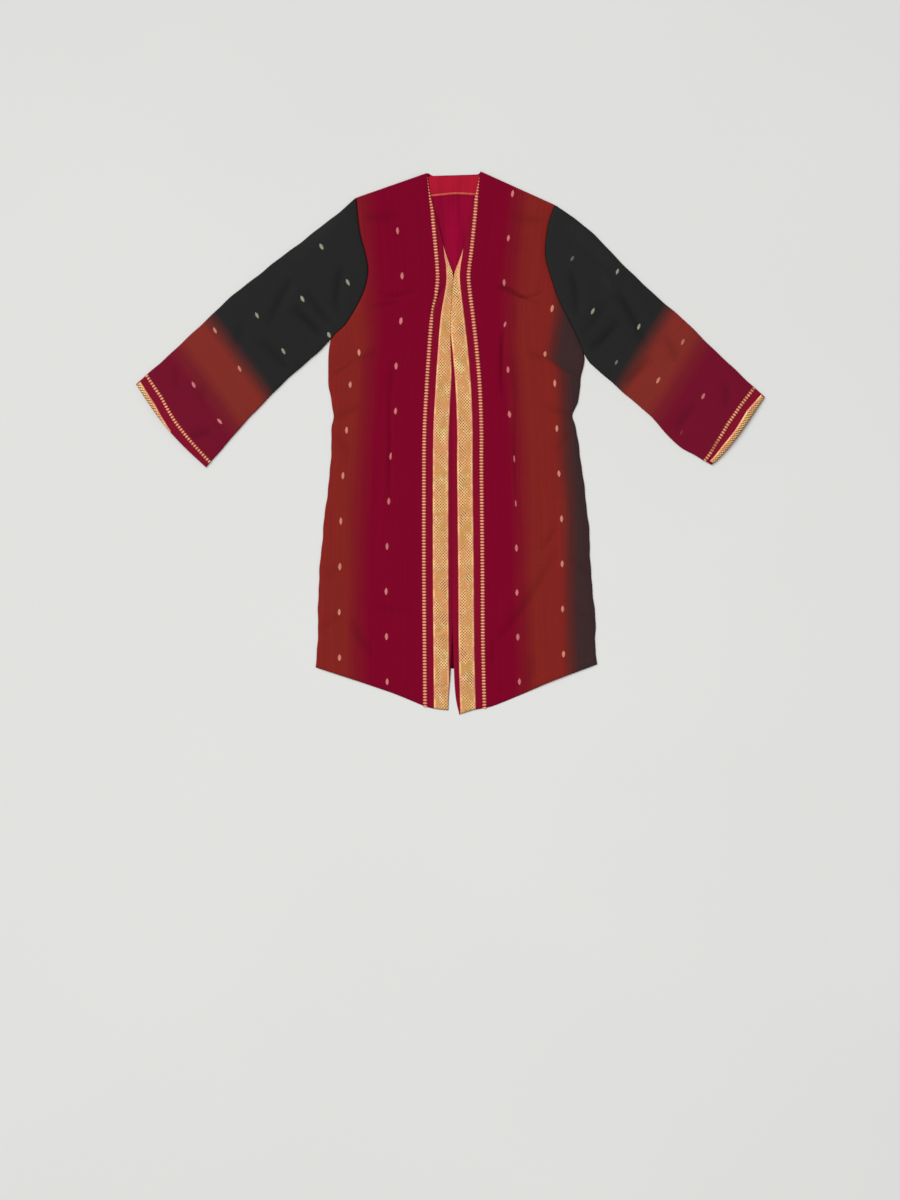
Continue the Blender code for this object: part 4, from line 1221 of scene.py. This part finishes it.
def gold_band(name, colours, border, cloth, twill=0.0):
    """Metal thread in a net of small diamonds, in patches, between two salmon lines. Twill is how much of
    it shows one direction of the net only."""
    material, tree = new_material(name, 0.42, 0.35, metallic=0.3)
    across, down = tree.cloth()

    def patch(over_across, over_down, low, high, turn):
        """Soft-edged patches of the weave, so long and so wide."""
        return tree.between(tree.grain(over_across, over_down, turn=turn), low, high)

    slid = tree.sum("MULTIPLY_ADD", tree.grain(60, 60, 1.0), 0.0012, down)
    narrowed = tree.times(across, 1.07)
    rising = tree.wave(tree.plus(narrowed, slid), border.lattice)
    falling = tree.wave(tree.sum("SUBTRACT", narrowed, slid), border.lattice)
    dots = tree.between(tree.times(rising, falling), 0.08, 0.55)
    one_way = tree.sum("MAXIMUM", patch(36, 26, 0.53, 0.6, 3.0), twill)
    lines = tree.times(tree.between(rising, 0.3, 0.9), one_way)
    holes = tree.sum("MAXIMUM", dots, tree.times(lines, 0.8))
    open_weave = tree.sum("MAXIMUM", patch(62, 46, 0.42, 0.57, 0.0), twill * 0.8)
    # Painted glints: soft patches where the metal thread is made brighter, as if it caught the light.
    painted_glint = patch(36, 26, 0.5, 0.7, 7.0)

    plain = tree.mix(patch(38, 15, 0.4, 0.6, 11.0), colours.gold_orange[:], colours.gold_plain[:])
    redder = tree.sum("MULTIPLY_ADD", tree.grain(16, 120, 3.0), 0.6, -0.1)
    net = tree.mix(redder, colours.gold[:], colours.gold_orange[:])
    net = tree.mix(painted_glint, net, colours.gold_glint[:])
    thread = tree.mix(tree.sum("MULTIPLY_ADD", open_weave, 0.85, 0.1), plain, net)
    depth = tree.sum("MULTIPLY_ADD", open_weave, 0.86, 0.15 + 0.13 * twill)
    depth = tree.plus(depth, tree.times(painted_glint, 0.2))
    thread = tree.mix(tree.times(holes, depth), thread, colours.gold_shade[:])

    # The two edge lines, toothed, and the tips at the neck, which are all edge.
    from_near = tree.sum("SUBTRACT", -border.band_starts, across)
    from_far = tree.sum("SUBTRACT", across, -border.band_starts - border.band_width)
    from_edge = tree.sum("MINIMUM", from_near, from_far)
    teeth = tree.times(tree.wave(down, border.rung_pitch / 2), 0.0009)
    from_edge = tree.sum("SUBTRACT", from_edge, teeth)
    edge = tree.between(from_edge, border.band_edge * 0.5, border.band_edge, 1.0, 0.0)
    up = tree.add("ShaderNodeSeparateXYZ", {0: tree.object_place()}).outputs[1]
    tip = tree.between(up, 0.318, 0.352)
    golden = tree.sum("SUBTRACT", patch(4, 34, 0.4, 0.62, 19.0), tip)
    salmon = tree.mix(golden, colours.salmon[:], colours.gold[:])
    tree.base(tree.mix(tree.times(tree.sum("MAXIMUM", edge, tip), 0.9), thread, salmon), tree.shade())
    tree.put(tree.shader.inputs["Roughness"], tree.between(holes, 0.0, 1.0, 0.36, 0.6))
    tree.weave(cloth.yarn, 0.5, tree.times(holes, tree.times(open_weave, -3.0)))
    return material


def thread_material(name, paints, grounds, wander):
    """Metal thread, by what it is woven on, from red over rust to black. Its painted dimness sinks it to its
    ground.
    """
    material, tree = new_material(name, 0.45, 0.3, metallic=0.2)
    place = tree.object_place()
    grain = tree.noise(place, 1500.0, 2.0)
    drift = tree.between(tree.noise(place, 26.0, 3.0, 0.6), 0.35, 0.65)
    level = tree.sum("MULTIPLY_ADD", drift, wander, tree.attribute("ground"))
    on_black = tree.sum("MAXIMUM", tree.sum("SUBTRACT", level, 1.0), 0.0)
    base = tree.mix(tree.sum("MINIMUM", level, 1.0), paints[0], paints[1])
    base = tree.mix(on_black, base, paints[2])
    # Painted shade: dim thread, as if it caught less light, sinks towards its ground's colour.
    base = tree.mix(tree.attribute("dull"), base, tree.mix(on_black, grounds[0], grounds[1]))
    glow = tree.between(tree.noise(place, 75.0, 2.0), 0.35, 0.65, 0.9, 1.08)
    tree.base(base, tree.times(tree.between(grain, 0.3, 0.7, 0.88, 1.06), glow))
    tree.bump(0.4, 0.0001, grain)
    return material


def plain_cloth(name, paint, yarn, roughness, streak, middle=None):
    """Plain silk or lining in one colour, with soft streaks along its warp, and another colour midway."""
    material, tree = new_material(name, roughness, 0.12, tint=(1.0, 0.2, 0.3))
    tone = tree.between(tree.grain(160, 7, 3.0, 0.6), 0.3, 0.7, 1 - streak, 1 + streak)
    if middle:
        from_middle = tree.sum("ABSOLUTE", tree.cloth()[0])
        paint = tree.mix(tree.between(from_middle, 0.0006, 0.0026, 1.0, 0.0), paint, middle)
    tree.base(paint, tree.times(tone, tree.shade()))
    tree.weave(yarn, 0.25)
    return material


def border_looks(scene):
    """The materials of the ladder lines' ground, the rungs and the flowers, made when first asked for."""
    colours, made = scene.blouse_colours, bpy.data.materials
    if "flower_thread" not in made:
        grounds, gold_rung = (colours.crimson[:], colours.black[:]), colours.gold_rung[:]
        yarn, sides, middle = scene.blouse_cloth.yarn, colours.rung_ground[:], colours.rung_middle[:]
        plain_cloth("ladder_ground", sides, yarn, 0.55, 0.1, middle)
        thread_material("rung_thread", (colours.rung[:], gold_rung, gold_rung), grounds, 0.6)
        paints = (colours.flower[:], colours.rust_flower[:], colours.dark_flower[:])
        thread_material("flower_thread", paints, grounds, 0.1)
    return made["ladder_ground"], made["rung_thread"], made["flower_thread"]


# ---- Geometry Nodes ----------------------------------------------------------------------------------


def new_node_group(name, labels):
    """A Geometry Nodes group with named number inputs and a material, and its tree."""
    group = bpy.data.node_groups.new(name, "GeometryNodeTree")
    group.interface.new_socket("Geometry", in_out="OUTPUT", socket_type="NodeSocketGeometry")
    group.interface.new_socket("Geometry", in_out="INPUT", socket_type="NodeSocketGeometry")
    for label in labels:
        kind = "NodeSocketInt" if label == "Threads" else "NodeSocketFloat"
        group.interface.new_socket(label, in_out="INPUT", socket_type=kind)
    group.interface.new_socket("Material", in_out="INPUT", socket_type="NodeSocketMaterial")
    tree = Tree(group)
    return group, tree, tree.add("NodeGroupInput").outputs, tree.add("NodeGroupOutput")


def thread_bar(tree):
    """A float of thread lying along X, one unit long, wide and high, that rounds off to its ends."""
    sizes = {"Vertices": 8, "Side Segments": 4, "Radius": 0.5, "Depth": 0.98}
    tube = tree.add("GeometryNodeMeshCylinder", sizes).outputs["Mesh"]
    place = tree.add("GeometryNodeInputPosition").outputs[0]
    height = tree.add("ShaderNodeSeparateXYZ", {0: place}).outputs[2]
    far = tree.sum("POWER", tree.sum("ABSOLUTE", tree.times(height, 2.0)), 4.0)
    taper = tree.sum("SQRT", tree.sum("SUBTRACT", 1.0, far))
    scaled = {0: place, 1: tree.vector(taper, taper, 1.0)}
    scaled = tree.add("ShaderNodeVectorMath", scaled, operation="MULTIPLY").outputs[0]
    rounded = tree.add("GeometryNodeSetPosition", {"Geometry": tube, "Position": scaled}).outputs[0]
    turned = {"Geometry": rounded, "Rotation": (0.0, math.pi / 2, 0.0)}
    return tree.add("GeometryNodeTransform", turned).outputs[0]


def copies(tree, points, instance, scale, rotation=None):
    """Real copies of an instance at points."""
    inputs = {"Points": points, "Instance": instance, "Scale": scale}
    if rotation:
        inputs["Rotation"] = rotation
    placed = tree.add("GeometryNodeInstanceOnPoints", inputs).outputs[0]
    return tree.add("GeometryNodeRealizeInstances", {"Geometry": placed}).outputs[0]


def stored(tree, name):
    return tree.add("GeometryNodeInputNamedAttribute", {"Name": name}, data_type="FLOAT").outputs[0]


def end_group(tree, geometry, given, output):
    smooth = tree.add("GeometryNodeSetShadeSmooth", {"Geometry": geometry}).outputs[0]
    painted = {"Geometry": smooth, "Material": given["Material"]}
    tree.put(output.inputs[0], tree.add("GeometryNodeSetMaterial", painted).outputs[0])


def rung_group():
    """Rungs at an even pitch along a line, square to it. Each is as long as the line's own width there."""
    group, tree, given, output = new_node_group("Ladder rungs", ("Pitch", "Width", "Height"))
    curve = tree.add("GeometryNodeMeshToCurve", {"Mesh": given["Geometry"]}).outputs[0]
    even = tree.add("GeometryNodeResampleCurve", {"Curve": curve, "Length": given["Pitch"]}, mode="LENGTH")
    tangent = tree.add("GeometryNodeInputTangent").outputs[0]
    facing = tree.add("FunctionNodeAlignRotationToVector", {"Vector": tangent}, axis="Y", pivot_axis="Z")
    scale = tree.vector(stored(tree, "reach"), given["Width"], given["Height"])
    end_group(tree, copies(tree, even.outputs[0], thread_bar(tree), scale, facing.outputs[0]), given, output)
    return group


def flower_group():
    """Woven flowers at points: each is a bud of short threads, as wide as its outline there."""
    group, tree, given, output = new_node_group("Woven flowers", ("Threads", "Length", "Width", "Height"))
    last = tree.sum("SUBTRACT", given["Threads"], 1.0)
    pitch = tree.sum("DIVIDE", given["Length"], last)
    start = tree.times(given["Length"], -0.5)
    line = {"Count": given["Threads"], "Start Location": tree.vector(0.0, start, 0.0)}
    line["Offset"] = tree.vector(0.0, pitch, 0.0)
    line = tree.add("GeometryNodeMeshLine", line, mode="OFFSET").outputs[0]
    part = tree.sum("DIVIDE", tree.add("GeometryNodeInputIndex").outputs[0], last)
    outline = tree.sum("POWER", tree.sum("SINE", tree.sum("MULTIPLY_ADD", part, 2.9, 0.12)), 0.65)
    # Every fourth thread is shorter, as between a flower's petals.
    notch = tree.sum("MULTIPLY_ADD", tree.wave(part, 0.3334), 0.16, 0.84)
    reach = tree.times(tree.times(outline, notch), given["Width"])
    bud = copies(tree, line, thread_bar(tree), tree.vector(reach, tree.times(pitch, 1.02), given["Height"]))
    points = tree.add("GeometryNodeMeshToPoints", {"Mesh": given["Geometry"]}).outputs[0]
    turn = tree.vector(0.0, 0.0, stored(tree, "turn"))
    scale = tree.vector(stored(tree, "size"), stored(tree, "long"), 1.0)
    end_group(tree, copies(tree, points, bud, scale, turn), given, output)
    return group


def grown(name, points, edges, group, values, attributes, material):
    """The thread that a group makes from points in millimetres, joined by edges, placed as a piece."""
    mesh = bpy.data.meshes.new(name)
    mesh.from_pydata((np.asarray(points) * MM).tolist(), edges, [])
    for label, numbers in attributes.items():
        attribute = mesh.attributes.new(label, "FLOAT", "POINT")
        attribute.data.foreach_set("value", np.asarray(numbers, np.float32))
    seed = bpy.data.objects.new(name + "_seed", mesh)
    bpy.context.scene.collection.objects.link(seed)
    modifier = seed.modifiers.new("grow", "NODES")
    modifier.node_group = group
    sockets = {item.name: item.identifier for item in group.interface.items_tree if item.in_out == "INPUT"}
    for label, value in {**values, "Material": material}.items():
        modifier[sockets[label]] = value
    bpy.context.view_layer.update()
    graph = bpy.context.evaluated_depsgraph_get()
    made = bpy.data.meshes.new_from_object(seed.evaluated_get(graph))
    bpy.data.objects.remove(seed)
    bpy.data.meshes.remove(mesh)
    if not made.polygons:
        raise RuntimeError(f"{name} came out empty")
    return place_piece(name, made, material)


def add_rungs(name, points, border, material, **attributes):
    """Rungs along a line of points: how far each reaches and, if given, how dim it is painted and its ground.
    """
    group = bpy.data.node_groups.get("Ladder rungs") or rung_group()
    edges = [(k, k + 1) for k in range(len(points) - 1)]
    values = {"Pitch": border.rung_pitch, "Width": border.rung_width, "Height": border.rung_height}
    return grown(name, points, edges, group, values, attributes, material)


def add_flowers(name, buds, border, material):
    """Woven flowers, each a bud's point, turn, width, length, ground and painted dimness."""
    group = bpy.data.node_groups.get("Woven flowers") or flower_group()
    points, *columns = zip(*buds)
    values = {"Threads": border.flower_threads, "Length": border.flower_length}
    values.update({"Width": border.flower_width, "Height": border.flower_height})
    attributes = dict(zip(("turn", "size", "long", "ground", "dull"), columns))
    return grown(name, points, [], group, values, attributes, material)


def flower_note(x, y):
    """What is said of the flower at a place, or else the small ways in which any flower differs."""
    for note in FLOWER_NOTES:
        if math.hypot(note.x - x, note.y - y) < NOTE_REACH:
            return note
    vary = math.sin(x * 1.7 + y * 0.9), math.sin(x * 0.8 - y * 2.3), math.sin(x * 2.9 + y * 0.37)
    dull, lean = 0.06 + 0.06 * vary[0], 0.06 * vary[0]
    return FlowerNote(x, y, 0, 0, dull, 1 + 0.08 * vary[1], 1 + 0.06 * vary[2], lean)


def front_flowers(front, cloth):
    """The flowers down a front's lines. Those that the waist dart runs through are narrower."""
    for row in front.flowers:
        line = getattr(front, row.line)
        inner = row.line == "inner"
        for k in range(row.count):
            y = row.first_y + k * row.spacing
            if y > row.fold_y:
                y -= row.take_up
            x, low_x, high_x = line_x(line, np.array([y, y - 30.0, y + 30.0])).tolist()
            note = flower_note(x, y)
            x, y = x + note.move_x, y + note.move_y
            place, across, _ = place_of(front, x, y)
            z = float(front.surface(place, across, cloth)[2][0]) + cloth.wall / MM + FLOWER_LIFT
            turn = note.lean - math.atan((high_x - low_x) / 60.0)
            narrowed = inner and front is LEFT and DART_FOOT_Y < y < DART_HEAD_Y
            wide = note.wide * (ON_DART if narrowed else 1.0)
            yield (x, y, z), turn, wide, note.long, 0.0 if inner else 1.0, note.dull


def sleeve_flowers(sleeve, dye, cloth):
    """Flowers in columns along the sleeve's warp, each column a step further on."""
    turn = (sleeve.heading() + math.pi / 2) * FLOWER_LEAN
    rust_at, dark_at = dye
    for number in COLUMNS:
        away = sleeve.cloth.first_column + number * COLUMN_SPACING
        for k in COLUMN_PLACES:
            down = sleeve.cloth.first_flower + number * sleeve.cloth.step + k * FLOWER_SPACING
            x, y = sleeve.from_cloth(away, down)
            note = flower_note(x, y)
            x, y = x + note.move_x, y + note.move_y
            place, across, missed = place_of(sleeve, x, y)
            if missed > 2.0 or min(across[0], 1 - across[0]) <= FOLD_CLEAR or place[0] < ARMHOLE_CLEAR:
                continue
            z = float(sleeve.surface(place, across, cloth)[2][0]) + FLOWER_LIFT
            on_rust = (away - rust_at + BEFORE_RUST) / GROUND_TURNS
            on_black = (away - dark_at + BEFORE_BLACK) / GROUND_TURNS
            ground = min(max(on_rust, 0.0), 1.0) + min(max(on_black, 0.0), 1.0)
            yield (x, y, z), turn + note.lean, note.wide, note.long, ground, note.dull


# ---- Operators ---------------------------------------------------------------------------------------


class BlouseOperator:
    """What the blouse's operators share."""

    bl_options = {"REGISTER", "UNDO"}


class AddBack(BlouseOperator, bpy.types.Operator):
    """Lay the back on the surface"""

    bl_idname = "blouse.add_back"
    bl_label = "Back"

    def execute(self, context):
        cloth = context.scene.blouse_cloth
        material = brocade("back", context.scene.blouse_colours, cloth)
        back = place_piece("back", back_mesh(cloth), material, cloth.wall)
        return {"FINISHED"}


class AddNeck(BlouseOperator, bpy.types.Operator):
    """Sew in the facing, its edging and the lining"""

    bl_idname = "blouse.add_neck"
    bl_label = "Neck facing and lining"

    def execute(self, context):
        colours, cloth = context.scene.blouse_colours, context.scene.blouse_cloth
        place = along(FACING, np.linspace(0, len(FACING) - 1, 41))
        low = np.stack([place.low_x, place.low_y], -1)
        height = PANEL_WALL + SEAM_GAP

        down = np.linspace(0, 1, 14)[:, None, None]
        facing = lerp(np.stack([place.top_x, place.top_y], -1), low - [0, 1.2], down)
        x, y = facing[..., 0], facing[..., 1]
        down = down[..., 0]
        wrinkle = 0.22 * np.sin(x / 5.2 + 0.8) + 0.16 * np.sin(x / 2.3 + y / 19)
        z = height - 0.1 + wrinkle * np.sin(np.pi * down)
        # Painted shade on the facing: soft patches across it, darker towards its lower edge.
        shade = 0.25 * np.sin(x / 9.0 + 0.6 * np.sin(y / 14)) * np.sin(x / 23.0) + 0.2 * down**3
        mesh = grid_mesh("neck_facing", np.stack([x, y, z], -1), facing, shade=shade)
        silk = plain_cloth("facing_silk", colours.facing[:], cloth.yarn, 0.55, 0.05)
        piece = place_piece("neck_facing", mesh, silk, cloth.wall)

        turn = np.radians(np.linspace(0, 180, 9))[:, None]
        half = EDGING_WIDTH / 2
        cord_y = place.low_y - SEAM_GAP - half + half * np.cos(turn)
        cord_z = height + 0.2 + 0.9 * np.sin(turn)
        cord = np.stack(np.broadcast_arrays(place.low_x, cord_y, cord_z), -1)
        mesh = grid_mesh("neck_facing_edging", cord, cord[..., :2])
        thread = plain_cloth("edging_thread", colours.edging[:], cloth.yarn, 0.5, 0.12)
        place_piece("neck_facing_edging", mesh, thread, EDGING_WALL, inwards=True)

        # The lining's folds are soft. Its colour holds painted shade along both its sides, where the fronts
        # lie over it, and just below the edging, and painted light on its folds' crests.
        part = (place.low_x - FACING[0].low_x) / (FACING[-1].low_x - FACING[0].low_x)
        foot = np.stack([lerp(*LINING_FOOT_X, part), np.full_like(part, LINING_FOOT_Y)], -1)
        down = np.linspace(0, 1, 60)[:, None, None]
        lining = lerp(low - [0, SEAM_GAP + EDGING_WIDTH - 1.5], foot, down)
        x, y = lining[..., 0], lining[..., 1]
        down = down[..., 0]
        folds = 0.35 * np.sin(x / 6.0 + y / 55.0) + 0.25 * np.sin(x / 11.0 - y / 31.0 + 1.0)
        z = height - 0.5 + folds * np.sin(np.pi * down) ** 0.5 * 0.6
        shade = 0.75 * np.abs(2 * part[None] - 1) ** 3 - 0.7 * folds + 0.35 * np.exp(-down * 14) - 0.1
        mesh = grid_mesh("back_lining", np.stack([x, y, z], -1), lining, shade=shade)
        plain = plain_cloth("lining_cloth", colours.lining[:], cloth.yarn, 0.5, 0.09)
        piece = place_piece("back_lining", mesh, plain, cloth.wall)
        return {"FINISHED"}


class AddFronts(BlouseOperator, bpy.types.Operator):
    """Lay the two fronts on the back, the left one over the right one, with their woven borders"""

    bl_idname = "blouse.add_fronts"
    bl_label = "Fronts"

    def execute(self, context):
        scene = context.scene
        gold = gold_band("gold_band", scene.blouse_colours, scene.blouse_border, scene.blouse_cloth)
        for side, front in (("left", LEFT), ("right", RIGHT)):
            self.add_front(scene, side, front, gold)
        return {"FINISHED"}

    def add_front(self, scene, side, front, gold):
        cloth, border, name = scene.blouse_cloth, scene.blouse_border, f"front_{side}"
        material = brocade(name, scene.blouse_colours, cloth)
        ground, rung_thread, flower_thread = border_looks(scene)
        panel = place_piece(name, front_mesh(name, front, cloth), material, cloth.wall)

        whole = front.from_ladder(border.band_starts + border.band_width)

        def near(y):
            """The gold band's edge towards the free edge. The right band goes under the left front."""
            if front is LEFT:
                return whole(y)
            return np.where(y < PARTED_Y, whole(y), np.minimum(whole(y), LEFT.free_edge(y) + UNDER_LAP))

        def far(y):
            """The gold band's edge beside the ladder line, which comes nearer to it at the tip."""
            nearer = TIP_NEARER_LEFT if front is LEFT else TIP_NEARER_RIGHT
            nearer = nearer * smooth_step((y - TIP_Y) / TIP_RISE)
            return line_x(front.ladder, y) - front.outward * (border.band_starts / MM - nearer)

        mesh = front_strip(f"front_band_{side}", front, near, far, LEAST_BAND, 3.0, 14, cloth)
        band = place_piece(f"front_band_{side}", mesh, gold, BAND_WALL)
        near, far = front.from_ladder(border.ladder_width / 2), front.from_ladder(-border.ladder_width / 2)
        mesh = front_strip(f"front_ladder_{side}", front, near, far, LEAST_LADDER, 4.0, 4, cloth)
        ladder = place_piece(f"front_ladder_{side}", mesh, ground, LADDER_WALL)
        points, reach = ladder_middle(front, border, cloth)
        if front is RIGHT:
            pinch = bell(points[:, 1] - PINCH_Y, PINCH_WIDTH)
            reach = reach * (1 - PINCH_NARROWS * pinch)
            points[:, 0] -= PINCH_MOVES * pinch
        rungs = add_rungs(f"front_rungs_{side}", points, border, rung_thread, reach=reach)
        flowers = add_flowers(f"front_flowers_{side}", front_flowers(front, cloth), border, flower_thread)
        flat, area = PANEL_SIZES[name]


class AddSleeves(BlouseOperator, bpy.types.Operator):
    """Lay the two sleeves, each a flattened tube, with the border at its cuff"""

    bl_idname = "blouse.add_sleeves"
    bl_label = "Sleeves"

    def execute(self, context):
        scene = context.scene
        gold = gold_band("cuff_gold", scene.blouse_colours, scene.blouse_border, scene.blouse_cloth, 0.9)
        for side, sleeve in (("left", ARM_LEFT), ("right", ARM_RIGHT)):
            self.add_sleeve(scene, side, sleeve, gold)
        return {"FINISHED"}

    def add_sleeve(self, scene, side, sleeve, gold):
        cloth, border, name = scene.blouse_cloth, scene.blouse_border, f"sleeve_{side}"
        material = brocade(name, scene.blouse_colours, cloth)
        ground, rung_thread, flower_thread = border_looks(scene)
        mesh = sleeve_mesh(name, sleeve, cloth)
        tube = place_piece(name, mesh, material, cloth.wall, inwards=True)
        mesh, _ = cuff_strip(f"cuff_band_{side}", sleeve, sleeve.edge.gold_from, 0.99, border, cloth)
        band = place_piece(f"cuff_band_{side}", mesh, gold, BAND_WALL)
        mesh, middle = cuff_strip(f"cuff_ladder_{side}", sleeve, 0.012, 0.988, border, cloth, ladder=True)
        ladder = place_piece(f"cuff_ladder_{side}", mesh, ground, LADDER_WALL)
        reach = np.full(len(middle), border.ladder_width * 0.84)
        dull = column(sleeve.dull, 1, np.linspace(0, 1, len(middle)))
        level = np.full(len(middle), 0.4)
        rungs = add_rungs(
            f"cuff_rungs_{side}", middle, border, rung_thread, reach=reach, dull=dull, ground=level
        )
        buds = sleeve_flowers(sleeve, DYES[name], cloth)
        flowers = add_flowers(f"sleeve_flowers_{side}", buds, border, flower_thread)
        flat, area = PANEL_SIZES[name]


class SetStage(BlouseOperator, bpy.types.Operator):
    """Lay the floor and set the lights and the camera"""

    bl_idname = "blouse.set_stage"
    bl_label = "Stage"

    def execute(self, context):
        scene = context.scene
        stage = scene.blouse_stage
        half = stage.floor_size
        mesh = bpy.data.meshes.new("floor")
        corners = [(x * half, y * half, -0.0002) for x, y in ((-1, -1), (1, -1), (1, 1), (-1, 1))]
        mesh.from_pydata(corners, [], [(0, 1, 2, 3)])
        floor = bpy.data.objects.new("floor", mesh)
        scene.collection.objects.link(floor)
        material, tree = new_material("floor_paper", 0.9, 0.1)
        paper = tree.noise(tree.object_place(), 1.3, 2.0)
        tree.base(stage.floor[:], tree.between(paper, 0.3, 0.7, 0.985, 1.0))
        mesh.materials.append(material)
        self.add_light("main_light", "SUN", (-2.6, 2.6, 3.9), stage.key).angle = math.radians(44)
        self.add_light("second_light", "AREA", (-0.6, -0.45, 3.8), stage.fill).size = 2.6
        world = bpy.data.worlds.new("studio")
        scene.world = world
        world.use_nodes = True
        background = world.node_tree.nodes["Background"]
        background.inputs["Color"].default_value = (1.0, 1.0, 0.99, 1.0)
        background.inputs["Strength"].default_value = stage.sky
        scene.view_settings.view_transform = "Standard"
        data = bpy.data.cameras.new("camera")
        data.lens = 100.0
        data.sensor_width = 36.0
        camera = bpy.data.objects.new("camera", data)
        scene.collection.objects.link(camera)
        camera.location = (stage.frame_x, stage.frame_y, stage.frame_height * data.lens / data.sensor_width)
        scene.camera = camera
        return {"FINISHED"}

    def add_light(self, name, kind, place, power):
        data = bpy.data.lights.new(name, kind)
        data.energy = power
        light = bpy.data.objects.new(name, data)
        bpy.context.scene.collection.objects.link(light)
        light.location = place
        light.rotation_mode = "QUATERNION"
        light.rotation_quaternion = (-light.location).to_track_quat("-Z", "Y")
        light.visible_camera = False
        return data


class BlousePanel(bpy.types.Panel):
    """The blouse's settings and its operators"""

    bl_idname = "BLOUSE_PT_blouse"
    bl_label = "Kebaya Blouse"
    bl_space_type = "VIEW_3D"
    bl_region_type = "UI"
    bl_category = "Blouse"

    def draw(self, context):
        for name in SETTINGS:
            settings = getattr(context.scene, name)
            box = self.layout.box()
            for setting in settings.__annotations__:
                box.prop(settings, setting)
        for operator in OPERATORS:
            self.layout.operator(operator.bl_idname)


OPERATORS = (AddBack, AddNeck, AddFronts, AddSleeves, SetStage)
SETTINGS = {
    "blouse_cloth": ClothSettings,
    "blouse_colours": ColourSettings,
    "blouse_border": BorderSettings,
    "blouse_stage": StageSettings,
}
CLASSES = (*SETTINGS.values(), *OPERATORS, BlousePanel)


def register():
    for each in CLASSES:
        bpy.utils.register_class(each)
    for name, group in SETTINGS.items():
        setattr(bpy.types.Scene, name, PointerProperty(type=group))


def unregister():
    for name in SETTINGS:
        delattr(bpy.types.Scene, name)
    for each in reversed(CLASSES):
        bpy.utils.unregister_class(each)


def main():
    register()
    bpy.ops.blouse.set_stage()
    bpy.ops.blouse.add_back()
    bpy.ops.blouse.add_neck()
    bpy.ops.blouse.add_fronts()
    bpy.ops.blouse.add_sleeves()


if __name__ == "__main__":
    main()
